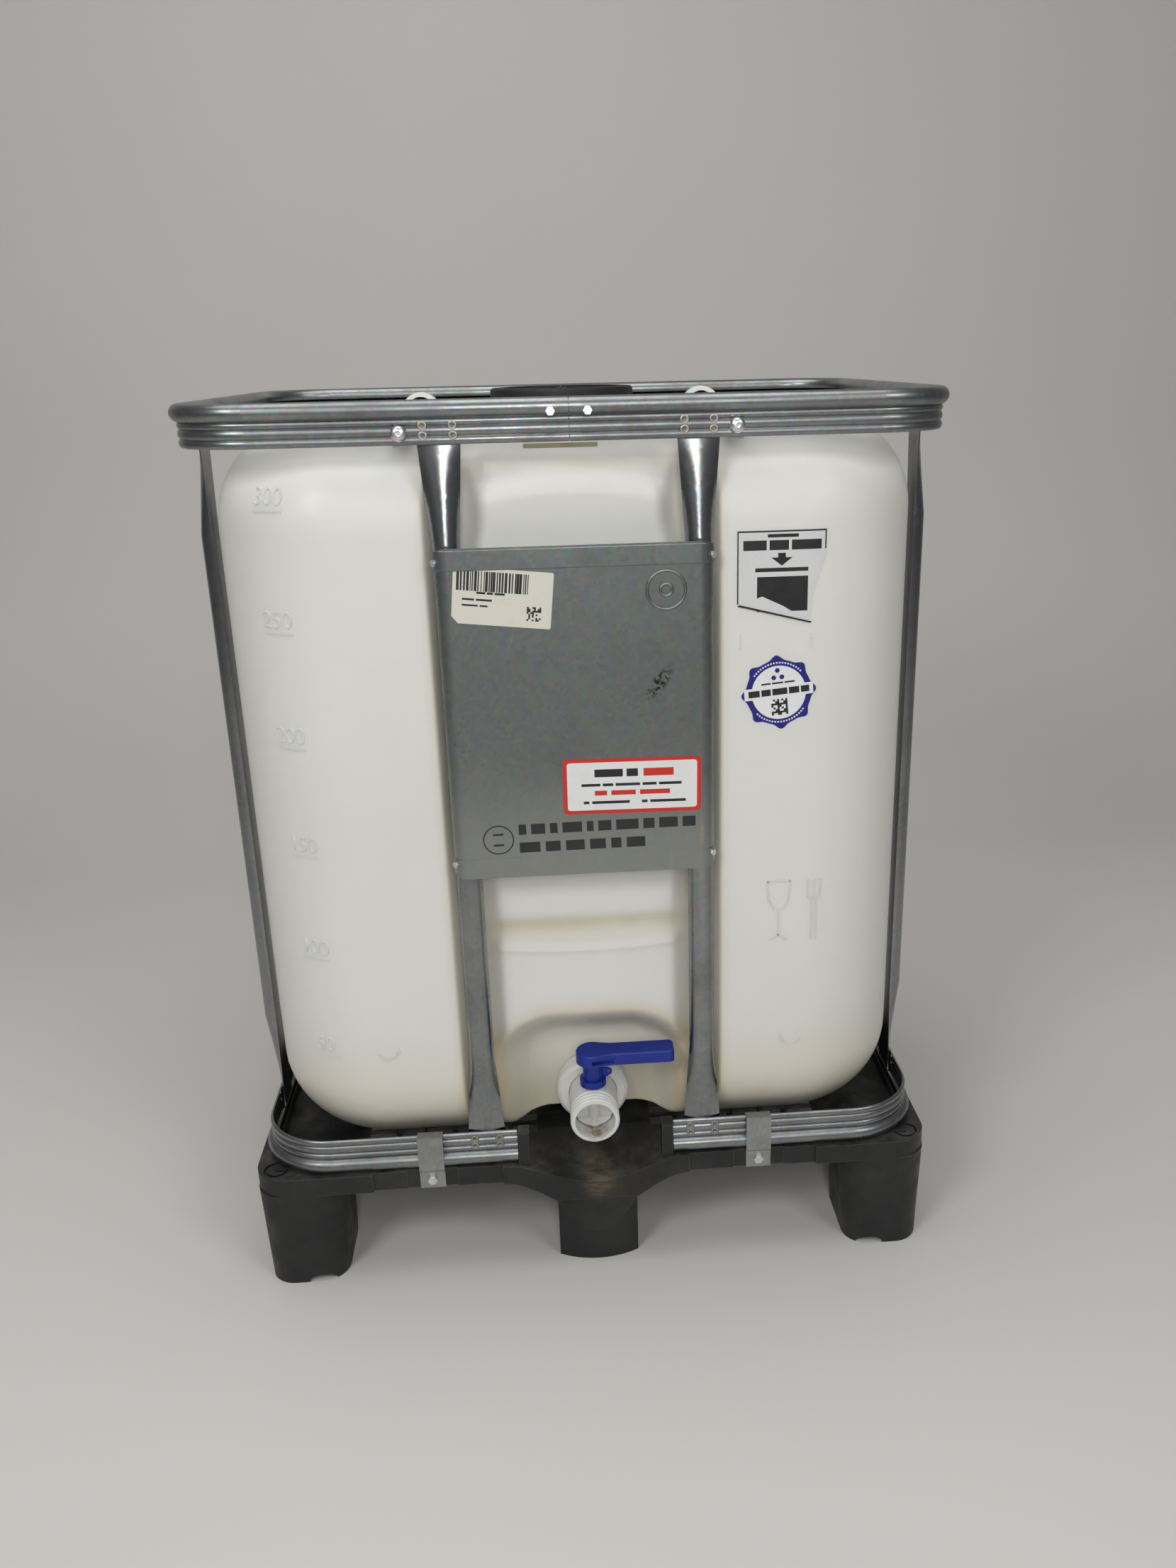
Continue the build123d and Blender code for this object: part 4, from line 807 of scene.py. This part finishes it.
class CONTAINER_OT_plate_labels(bpy.types.Operator):
    """Lay the generic stickers, stencil marks and the raised mark on the steel plate"""

    bl_idname = "container.plate_labels"
    bl_label = "Plate Labels"

    def execute(self, context):
        cream = printed("label_cream", (0.72, 0.70, 0.60))
        black = printed("label_black", (0.015, 0.015, 0.017))
        red = printed("label_red", (0.60, 0.030, 0.018))
        white = printed("label_white", (0.80, 0.80, 0.79))
        self.stock_label(cream, black)
        self.trade_label(red, white, black)
        self.stencil(printed("stencil_black", (0.020, 0.020, 0.022), 0.55, 0.4))
        self.raised_mark()
        return {"FINISHED"}

    def stock_label(self, cream, black):
        random = np.random.default_rng(7)
        prints = []
        x = -0.045
        while x < 0.026:
            width = float(random.choice([0.0009, 0.0013, 0.0018, 0.0026]))
            prints.append((1, bar(x, 0.0150, width, 0.020)))
            x += width / 2 + float(random.choice([0.0010, 0.0014, 0.0019])) + 0.0005
        prints += [(1, points) for points in dashes(-0.026, 0.0035, 0.0022, (0.009, 0.006, 0.010), 0.0016)]
        prints += [(1, points) for points in dashes(-0.040, -0.0035, 0.0020, (0.012, 0.016), 0.0018)]
        prints += [(1, points) for points in dashes(-0.040, -0.0095, 0.0018, (0.016, 0.008), 0.0018)]
        pitch = 0.0018
        for i in range(8):
            for j in range(8):
                if random.random() < 0.5:
                    prints.append((1, bar(0.026 + i * pitch, -0.0205 + j * pitch, 0.00182, 0.00182)))
        torn = rounded(0.100, 0.057, 0.002)
        torn = [p for p in torn if not (p[0] < -0.044 and p[1] < -0.022)]
        torn.insert(0, (-0.0430, -0.0285))
        torn.append((-0.0500, -0.0215))
        place = on_plate(-0.0735, 0.815, math.radians(-6.0))
        sticker("stock_label", torn, prints, place, [cream, black], "plate_steel")

    def trade_label(self, red, white, black):
        rows = (  # material, start, height, thickness, widths, gap
            (2, -0.040, 0.0145, 0.0085, (0.030, 0.012), 0.0040),
            (0, 0.012, 0.0145, 0.0085, (0.032,), 0.0040),
            (2, -0.054, 0.0015, 0.0030, (0.020, 0.011, 0.026, 0.015, 0.024), 0.0026),
            (0, -0.040, -0.0075, 0.0052, (0.013, 0.026, 0.032), 0.0045),
            (2, -0.052, -0.0180, 0.0030, (0.006, 0.040), 0.0030),
            (2, 0.010, -0.0180, 0.0030, (0.006, 0.038), 0.0030),
        )
        materials = [red, white, black]
        place = on_plate(0.0525, 0.6115, math.radians(-0.6))
        field = [(1, rounded(0.138, 0.053, 0.003))]
        sticker("trade_label", rounded(0.147, 0.061, 0.004), field, place, materials, "plate_steel")
        inks = [(points, SHEET, SHEET + 2 * INK, index) for index, *row in rows for points in dashes(*row)]
        finish_piece(laid("trade_label_print", outline_mesh(inks), place, materials), "plate_steel")

    def stencil(self, ink):
        upper = (0.008, 0.015, 0.008, 0.021, 0.007, 0.014, 0.024, 0.012, 0.020, 0.014)
        lower = (0.022, 0.016, 0.020, 0.017, 0.011, 0.020)
        outlines = dashes(-0.066, 0.0105, 0.0115, upper, 0.0052) + dashes(-0.066, -0.0100, 0.0115, lower, 0.0058)
        badge = (-0.0880, 0.0)
        outer, inner = disc(0.0165, 40, badge), disc(0.0152, 40, badge)
        outlines += [[inner[i - 1], outer[i - 1], outer[i], inner[i]] for i in range(40)]
        outlines += [bar(badge[0], y, 0.011, 0.0022) for y in (0.006, -0.006)]
        shapes = [(points, 0.0, INK, 0) for points in outlines]
        place = on_plate(-0.004, 0.557, math.radians(0.4))
        finish_piece(laid("stencil_marks", outline_mesh(shapes), place, [ink]), "plate_steel")

    def raised_mark(self):
        steel = bpy.data.materials["dull_plate_steel"]
        ridge = 0.0012
        vertices, faces = [], []
        centre = Vector((0.0915, PLATE_FACE, 0.8175))
        turned = Matrix.Translation(centre) @ Matrix.Rotation(math.radians(90), 4, "X")
        for radius, width in ((0.0195, 0.0016), (0.0060, 0.0016)):
            profile = [(radius + width * math.cos(a), ridge * math.sin(a)) for a in np.linspace(0, math.pi, 7)]
            more, quads = lathe(profile, 64, turned)
            faces += [tuple(len(vertices) + i for i in quad) for quad in quads]
            vertices += more
        mesh = bpy.data.meshes.new("plate_raised_mark")
        mesh.from_pydata([tuple(v) for v in vertices], [], faces)
        finish_piece(add_object("plate_raised_mark", mesh, [steel]), "plate_steel")


class CONTAINER_OT_bottle_labels(bpy.types.Operator):
    """Lay the generic stickers on the bottle"""

    bl_idname = "container.bottle_labels"
    bl_label = "Bottle Labels"

    def execute(self, context):
        white = printed("sticker_white", (0.82, 0.83, 0.83))
        black = printed("sticker_black", (0.018, 0.018, 0.020))
        blue = printed("sticker_blue", (0.014, 0.012, 0.205))
        clear = printed("sticker_clear", (0.70, 0.705, 0.69), 0.22)
        tape = printed("tape_brown", (0.21, 0.18, 0.05), 0.34, 0.5)
        self.stack_label(clear, black)
        self.round_label(white, blue, black)
        strip = bar(0, 0, 0.075, 0.004)
        sticker("tape_strip", strip, [], on_channel(-0.0085, 0.9575), [tape], "bottle_plastic", ART_PITCH)
        return {"FINISHED"}

    def stack_label(self, clear, black):
        prints = [(1, points) for points in (
            bar(0, 0.0475, 0.092, 0.0016), bar(-0.0455, 0.0105, 0.0014, 0.073), bar(0.0455, 0.038, 0.0014, 0.019),
            bar(0, 0.0085, 0.055, 0.0040), bar(0.001, -0.0165, 0.053, 0.036), bar(0.001, 0.0430, 0.032, 0.0034),
        )]
        prints += [(1, points) for points in dashes(-0.0400, 0.0335, 0.0100, (0.024, 0.020, 0.031), 0.0030)]
        prints.append((1, [(-0.011, 0.021), (0.0, 0.0125), (0.011, 0.021), (0.004, 0.021), (0.004, 0.0255),
                           (-0.004, 0.0255), (-0.004, 0.021)]))
        outline = [(-0.047, 0.049), (-0.047, -0.026), (-0.030, -0.028), (-0.010, -0.033), (0.010, -0.039),
                   (0.028, -0.046), (0.031, -0.040), (0.033, -0.020), (0.040, 0.004), (0.046, 0.020),
                   (0.047, 0.049)]
        place = on_bottle(0.2125, 0.8225)
        sticker("stack_label", outline, prints, place, [clear, black], "bottle_plastic", ART_PITCH)
        lifted_corner_and_shadow = [([(-0.046, -0.0275), (-0.020, -0.0185), (0.002, -0.0290), (0.031, -0.0470), (0.006, -0.0400)],
                 0.0004, 0.0008, 0)]
        # Thin black strip along the lifted corner's edge: painted shadow under the curl.
        lifted_corner_and_shadow.append(([(-0.046, -0.0280), (0.031, -0.0475), (0.032, -0.0460), (-0.044, -0.0265)], 0.0008, 0.0013, 1))
        made = outline_mesh(lifted_corner_and_shadow)
        slice_across(made, ART_PITCH)
        finish_piece(laid("stack_label_curl", made, place, [clear, black]), "bottle_plastic")

    def round_label(self, white, blue, black):
        """Eight-pointed label with a white field, a band of blocks and a square of small dots."""
        points = []
        for t in np.linspace(0, 2 * math.pi, 128, endpoint=False):
            reach = 0.0352 + 0.0050 * abs(math.cos(4 * t)) ** 5
            points.append((reach * math.cos(t), reach * math.sin(t)))
        place = on_bottle(0.2115, 0.7015, math.radians(5))
        materials = [blue, white, black]
        field = [(1, disc(0.0290, 64))]
        sticker("return_label", points, field, place, materials, "bottle_plastic", ART_PITCH)
        low, high = SHEET, SHEET + 2 * INK
        shapes = [(bar(0, 0.001, 0.074, 0.0125), low, high, 1)]
        band = dashes(-0.0325, 0.001, 0.0070, (0.012, 0.010, 0.016, 0.011, 0.009), 0.0018)
        shapes += [(block, high, high + INK, 2) for block in band]
        line = dashes(-0.018, 0.0105, 0.0018, (0.010, 0.012, 0.011), 0.0014)
        shapes += [(block, low, high, 2) for block in line]
        pitch = 0.0022
        for i in range(8):
            for j in range(8):
                if (i * 3 + j * 5 + i * j) % 4 < 2:
                    shapes.append((bar(-0.0080 + i * pitch, -0.0235 + j * pitch, pitch, pitch), low, high, 2))
        for turn in (math.radians(90 + 120 * i) for i in range(3)):
            middle = (0.0050 * math.cos(turn), 0.0190 + 0.0050 * math.sin(turn))
            shapes.append((disc(0.0028, 6, middle), low, high, 0))
        for turn in (math.radians(side + i * 5.5) for i in range(-9, 10) for side in (90, 270)):
            tick = bar(0.0322 * math.cos(turn), 0.0322 * math.sin(turn), 0.0017, 0.0017)
            shapes.append((tick, low, high, 1))
        made = outline_mesh(shapes)
        slice_across(made, ART_PITCH)
        finish_piece(laid("return_label_print", made, place, materials), "bottle_plastic")


class CONTAINER_OT_bottle_marks(bpy.types.Operator):
    """Raise the litre numbers, turn arrows and the small signs on the bottle"""

    bl_idname = "container.bottle_marks"
    bl_label = "Bottle Marks"

    def execute(self, context):
        settings = context.scene.container_bottle
        material = bpy.data.materials["milky_bottle_plastic"]
        made = bmesh.new()
        for i in range(settings.marks):
            z = settings.first_mark + i * settings.mark_pitch
            self.number(made, str(50 * (i + 1)), -0.3075, z, settings.relief)
            self.add(made, outline_mesh([(rounded(0.0350, 0.0022, 0.001, (0, 0)), -0.0006, settings.relief, 0)]),
                     on_bottle(-0.3075, z - 0.0135))
        for s, z, side in ((-0.2325, 0.300, 1), (0.2315, 0.290, -1)):
            self.add(made, outline_mesh(self.turn_arrow(side, settings.relief)), on_bottle(s, z))
        self.add(made, outline_mesh(self.cup_and_fork(settings.relief)), on_bottle(0.2330, 0.4490))
        for s in (0.170, 0.245):
            for i in range(4):
                self.add(made, outline_mesh([(disc(0.0012, 10, (0, i * 0.0045)), -0.0006, settings.relief, 0)]),
                         on_bottle(s, 0.7500))
        mesh = bpy.data.meshes.new("bottle_raised_marks")
        bmesh.ops.recalc_face_normals(made, faces=made.faces)
        made.to_mesh(mesh)
        made.free()
        finish_piece(add_object("bottle_raised_marks", mesh, [material], smooth=False), "bottle_plastic")
        return {"FINISHED"}

    def add(self, target, part, place):
        slice_across(part, 0.003)
        for vertex in part.verts:
            vertex.co = place(*vertex.co)
        loose = bpy.data.meshes.new("part")
        part.to_mesh(loose)
        part.free()
        target.from_mesh(loose)
        bpy.data.meshes.remove(loose)

    def number(self, target, text, s, z, relief):
        curve = bpy.data.curves.new("number", "FONT")
        curve.body = text
        curve.size = 0.0250
        curve.align_x = "CENTER"
        curve.align_y = "CENTER"
        curve.extrude = relief
        curve.bevel_depth = 0.0004
        curve.bevel_resolution = 1
        curve.offset = -0.0005
        holder = bpy.data.objects.new("number", curve)
        mesh = bpy.data.meshes.new_from_object(holder)
        part = bmesh.new()
        part.from_mesh(mesh)
        self.add(target, part, on_bottle(s, z))
        bpy.data.objects.remove(holder)
        bpy.data.curves.remove(curve)
        bpy.data.meshes.remove(mesh)

    def turn_arrow(self, side, relief):
        """Curved arrow as a chain of short bars and a head."""
        shapes = []
        outer, inner = 0.0125, 0.0108
        turns = [math.radians(200 + 140 * i / 12) for i in range(13)]
        for a, b in zip(turns, turns[1:]):
            points = [(inner * math.cos(a), inner * math.sin(a)), (outer * math.cos(a), outer * math.sin(a)),
                      (outer * math.cos(b), outer * math.sin(b)), (inner * math.cos(b), inner * math.sin(b))]
            shapes.append(([(side * u, v) for u, v in points], -0.0006, relief, 0))
        tip = turns[-1]
        middle = ((outer + inner) / 2 * math.cos(tip), (outer + inner) / 2 * math.sin(tip))
        head = [(middle[0] - 0.0040, middle[1] - 0.0010), (middle[0] + 0.0036, middle[1] - 0.0010),
                (middle[0] + 0.0008, middle[1] + 0.0062)]
        shapes.append(([(side * u, v) for u, v in head], -0.0006, relief, 0))
        return shapes

    def cup_and_fork(self, relief):
        """Plain drinking cup beside a fork, in raised lines."""
        line = 0.0024
        left = -0.018
        strokes = [
            ((left - 0.013, 0.036), (left + 0.013, 0.036)), ((left - 0.013, 0.036), (left - 0.011, 0.012)),
            ((left + 0.013, 0.036), (left + 0.011, 0.012)), ((left - 0.011, 0.012), (left - 0.004, 0.002)),
            ((left + 0.011, 0.012), (left + 0.004, 0.002)), ((left, 0.002), (left, -0.030)),
            ((left - 0.010, -0.036), (left, -0.030)), ((left + 0.010, -0.036), (left, -0.030)),
        ]
        fork = 0.022
        strokes += [((fork + d, 0.036), (fork + d, 0.014)) for d in (-0.007, 0.0, 0.007)]
        strokes += [((fork - 0.007, 0.014), (fork + 0.007, 0.014)), ((fork - 0.002, 0.012), (fork - 0.002, -0.038)),
                    ((fork + 0.003, 0.012), (fork + 0.003, -0.038))]
        shapes = []
        for (x0, y0), (x1, y1) in strokes:
            length = math.hypot(x1 - x0, y1 - y0)
            nx, ny = -(y1 - y0) / length * line / 2, (x1 - x0) / length * line / 2
            shapes.append(([(x0 + nx, y0 + ny), (x0 - nx, y0 - ny), (x1 - nx, y1 - ny), (x1 + nx, y1 + ny)],
                           -0.0006, relief * 0.8, 0))
        return shapes


# ------------------------------------------------------------------ metal
class CONTAINER_OT_metal(bpy.types.Operator):
    """Give the steel its galvanised finishes and set the spot welds on both rings"""

    bl_idname = "container.metal"
    bl_label = "Steel"

    def execute(self, context):
        settings = context.scene.container_metal
        bright, dull = tuple(settings.bright), tuple(settings.dull)
        finishes = {
            "galvanised_sheet": galvanised("bright_ring_sheet", bright, dull, (0.30, 0.44), (1, 1, 0.6)),
            "galvanised_tube": galvanised("drawn_post_tube", bright, dull, (0.20, 0.30), (3, 3, 0.08), 0.5,
                                          grain=0.02),
            "galvanised_bar": galvanised("crossbar_steel", bright, dull, (0.34, 0.46), (1, 0.2, 1)),
            "clip_steel": galvanised("dull_clip_steel", (0.40, 0.41, 0.40), (0.23, 0.24, 0.235), (0.38, 0.55)),
            "plate_steel": galvanised("dull_plate_steel", (0.235, 0.257, 0.247), (0.155, 0.167, 0.162),
                                      (0.34, 0.48), (1, 1, 0.5), 0.6, plate_marks_and_light),
            "zinc_fastener": galvanised("zinc_fastener_steel", (0.80, 0.81, 0.82), (0.52, 0.53, 0.54),
                                        (0.26, 0.40)),
        }
        paint_nodes(finishes)
        self.welds(burnt_weld())
        self.seam_backing(finishes["galvanised_bar"])
        return {"FINISHED"}

    def seam_backing(self, material):
        """Shaded strips inside the rim that close the view through its seam."""
        strips = [bar(0, RIM.z - 0.0290, 0.010, 0.024), bar(0, RIM.z - 0.0090, 0.010, 0.013)]
        made = outline_mesh([(points, 0.0, 0.0008, 0) for points in strips])
        inside = -RING_FACE_Y + 0.0045
        piece = laid("rim_seam_backing", made, lambda u, v, h: Vector((u, inside + h, v)), [material])
        finish_piece(piece, "galvanised_sheet")

    def welds(self, material):
        crater = [(0.0, 0.0002), (0.0016, 0.0003), (0.0030, 0.0011), (0.0040, 0.0012), (0.0050, 0.0003),
                  (0.0050, -0.0018), (0.0, -0.0018)]
        burn = [1.0, 1.0, 0.55, 0.25, 0.0, 0.0, 0.0]
        proud = 0.0020  # the ribs' crests stand this far off the band
        places = []  # post's place on the ring, the way out and the way along
        for x in (-POST_FRONT_X, POST_FRONT_X):
            for side in (-1, 1):
                places.append((Vector((x, side * (RING_FACE_Y + proud), 0)), Vector((0, side, 0)), Vector((1, 0, 0))))
        for y in (-POST_SIDE_Y, POST_SIDE_Y):
            for side in (-1, 1):
                places.append((Vector((side * (RING_FACE_X + proud), y, 0)), Vector((side, 0, 0)), Vector((0, 1, 0))))
        heights = [RIM.z - 0.0242, RIM.z - 0.0337]
        heights += [LOWER_RING_FOOT + 0.0242, LOWER_RING_FOOT + 0.0337]
        vertices, faces, values = [], [], []
        for base, outward, along in places:
            for shift in (-0.0145, 0.0145):
                for z in heights:
                    place = Matrix.Translation(base + along * shift + Vector((0, 0, z)))
                    place = place @ outward.to_track_quat("Z", "Y").to_matrix().to_4x4()
                    more, quads = lathe(crater, 20, place)
                    faces += [tuple(len(vertices) + i for i in quad) for quad in quads]
                    vertices += [tuple(v) for v in more]
                    values += burn * 20
        mesh = bpy.data.meshes.new("spot_welds")
        mesh.from_pydata(vertices, [], faces)
        mesh.attributes.new("burn", "FLOAT", "POINT").data.foreach_set("value", np.array(values, np.float32))
        merged = bmesh.new()
        merged.from_mesh(mesh)
        bmesh.ops.remove_doubles(merged, verts=merged.verts, dist=1e-6)
        bmesh.ops.recalc_face_normals(merged, faces=merged.faces)
        merged.to_mesh(mesh)
        merged.free()
        finish_piece(add_object("spot_welds", mesh, [material]), "galvanised_sheet")


def paint_nodes(finishes):
    """Puts each finish on the frame's own parts that the record gives to its slot."""
    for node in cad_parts.values():
        for slot in node.material_slots:
            if slot.material and slot.material.name in finishes:
                slot.material = finishes[slot.material.name]


class CONTAINER_OT_mouldings(bpy.types.Operator):
    """Give the pallet, lid, valve, lever and seals their plastic finishes"""

    bl_idname = "container.mouldings"
    bl_label = "Plastic Mouldings"

    def execute(self, context):
        settings = context.scene.container_plastic
        lever = tuple(settings.handle)
        paint_nodes({
            "pallet_plastic": pallet_plastic(),
            "lid_plastic": moulded("black_lid_plastic", (0.007, 0.007, 0.0075), (0.020, 0.020, 0.0195),
                                   (0.55, 0.70)),
            "seal_rubber": moulded("seal_rubber_black", (0.016, 0.016, 0.017), (0.05, 0.05, 0.05), (0.55, 0.75)),
            "valve_plastic": moulded("milky_valve_plastic", (0.72, 0.725, 0.70), (0.60, 0.60, 0.56),
                                     (0.28, 0.42), 0.35, 0.15, bore_stain),
            "white_plastic": moulded("white_moulding", (0.78, 0.775, 0.74), (0.66, 0.64, 0.57), (0.30, 0.45),
                                     0.25, 0.15),
            "handle_plastic": moulded("blue_lever_plastic", lever, (0.02, 0.055, 0.33), (0.38, 0.52), 0.0, 0.3),
        })
        return {"FINISHED"}


# ------------------------------------------------------------------ stage
def area_light(name, place, target, size, power, colour=(1, 1, 1)):
    lamp = bpy.data.lights.new(name, "AREA")
    lamp.shape = "RECTANGLE"
    lamp.size, lamp.size_y = size
    lamp.energy = power
    lamp.color = colour
    holder = bpy.data.objects.new(name, lamp)
    bpy.context.scene.collection.objects.link(holder)
    holder.location = place
    holder.rotation_mode = "QUATERNION"
    holder.rotation_quaternion = (Vector(target) - Vector(place)).to_track_quat("-Z", "Y")
    return holder


class CONTAINER_OT_stage(bpy.types.Operator):
    """Set the pale sweep, the soft lights and the camera"""

    bl_idname = "container.stage"
    bl_label = "Stage"

    def execute(self, context):
        settings = context.scene.container_stage
        self.sweep(settings)
        area_light("left_key", (-1.5, -2.3, 2.3), (0, 0, 0.5), (0.9, 0.8), settings.left_power)
        area_light("right_key", (1.6, -2.3, 2.4), (0, 0, 0.5), (0.9, 0.8), settings.right_power)
        area_light("front_light", (0.05, -2.5, 1.45), (0, 0, 0.4), (0.55, 0.7), settings.front_power)
        area_light("top_light", (-0.2, -0.3, 3.0), (0, 0.1, 0), (2.4, 1.6), settings.top_power)
        world = bpy.data.worlds.new("studio_air")
        world.use_nodes = True
        air = next(n for n in world.node_tree.nodes if n.type == "BACKGROUND")
        air.inputs["Color"].default_value = (0.93, 0.95, 1.0, 1)
        air.inputs["Strength"].default_value = settings.sky
        context.scene.world = world
        context.scene.view_settings.view_transform = "Standard"
        self.camera(settings)
        return {"FINISHED"}

    def sweep(self, settings):
        rows = [(-5.0, 0.0), (-2.0, 0.0), (0.6, 0.0), (1.05, 0.0)]
        rows += [(1.05 + 0.9 * math.sin(a), 0.9 - 0.9 * math.cos(a)) for a in np.linspace(0.08, math.pi / 2, 18)]
        rows.append((1.95, 5.0))
        vertices = [(x, y, z) for y, z in rows for x in (-7.0, 7.0)]
        faces = [(2 * i, 2 * i + 1, 2 * i + 3, 2 * i + 2) for i in range(len(rows) - 1)]
        mesh = bpy.data.meshes.new("studio_sweep")
        mesh.from_pydata(vertices, [], faces)
        f = Finish("studio_paper")
        tone = tuple(settings.floor_colour)
        f.colour(f.mix(f.step(f.noise(1.3, 3.0), 0.3, 0.7, 0.0, 0.12), tone, tuple(c * 0.86 for c in tone)))
        f.set(Roughness=0.85, Specular_IOR_Level=0.2)
        add_object("studio_sweep", mesh, [f.material])

    def camera(self, settings):
        turn, tilt, roll = settings.camera_turn, settings.camera_tilt, settings.camera_roll
        ahead = Vector((math.sin(turn) * math.cos(tilt), math.cos(turn) * math.cos(tilt), -math.sin(tilt)))
        level = Vector((math.cos(turn), -math.sin(turn), 0))
        upright = level.cross(ahead)
        right = level * math.cos(roll) + upright * math.sin(roll)
        up = -level * math.sin(roll) + upright * math.cos(roll)
        lens = bpy.data.cameras.new("front_camera")
        lens.lens = settings.lens
        lens.sensor_width = 36
        lens.shift_x, lens.shift_y = settings.shift
        lens.clip_start, lens.clip_end = 0.05, 50
        holder = bpy.data.objects.new("front_camera", lens)
        bpy.context.scene.collection.objects.link(holder)
        pose = Matrix((right, up, -ahead)).transposed().to_4x4()
        pose.translation = Vector(settings.camera_place)
        holder.matrix_world = pose
        bpy.context.scene.camera = holder


class CONTAINER_PT_sidebar(bpy.types.Panel):
    """Buttons for every piece of the container"""

    bl_idname = "CONTAINER_PT_sidebar"
    bl_label = "Bulk Container"
    bl_space_type = "VIEW_3D"
    bl_region_type = "UI"
    bl_category = "Container"

    def draw(self, context):
        for operator in OPERATORS:
            self.layout.operator(operator.bl_idname)


SETTINGS = {
    "container_stage": StageSettings,
    "container_bottle": BottleSettings,
    "container_metal": MetalSettings,
    "container_plastic": PlasticSettings,
}
OPERATORS = (
    CONTAINER_OT_stage,
    CONTAINER_OT_metal,
    CONTAINER_OT_mouldings,
    CONTAINER_OT_bottle,
    CONTAINER_OT_bottle_marks,
    CONTAINER_OT_bottle_labels,
    CONTAINER_OT_plate_labels,
)


def register():
    for kind in (*SETTINGS.values(), *OPERATORS, CONTAINER_PT_sidebar):
        bpy.utils.register_class(kind)
    for name, kind in SETTINGS.items():
        setattr(bpy.types.Scene, name, PointerProperty(type=kind))


def unregister():
    for name in SETTINGS:
        delattr(bpy.types.Scene, name)
    for kind in reversed((*SETTINGS.values(), *OPERATORS, CONTAINER_PT_sidebar)):
        bpy.utils.unregister_class(kind)


def main():
    register()
    bpy.ops.container.stage()
    bpy.ops.container.metal()
    bpy.ops.container.mouldings()
    bpy.ops.container.bottle()
    bpy.ops.container.bottle_marks()
    bpy.ops.container.bottle_labels()
    bpy.ops.container.plate_labels()


if __name__ == "__main__":
    main()
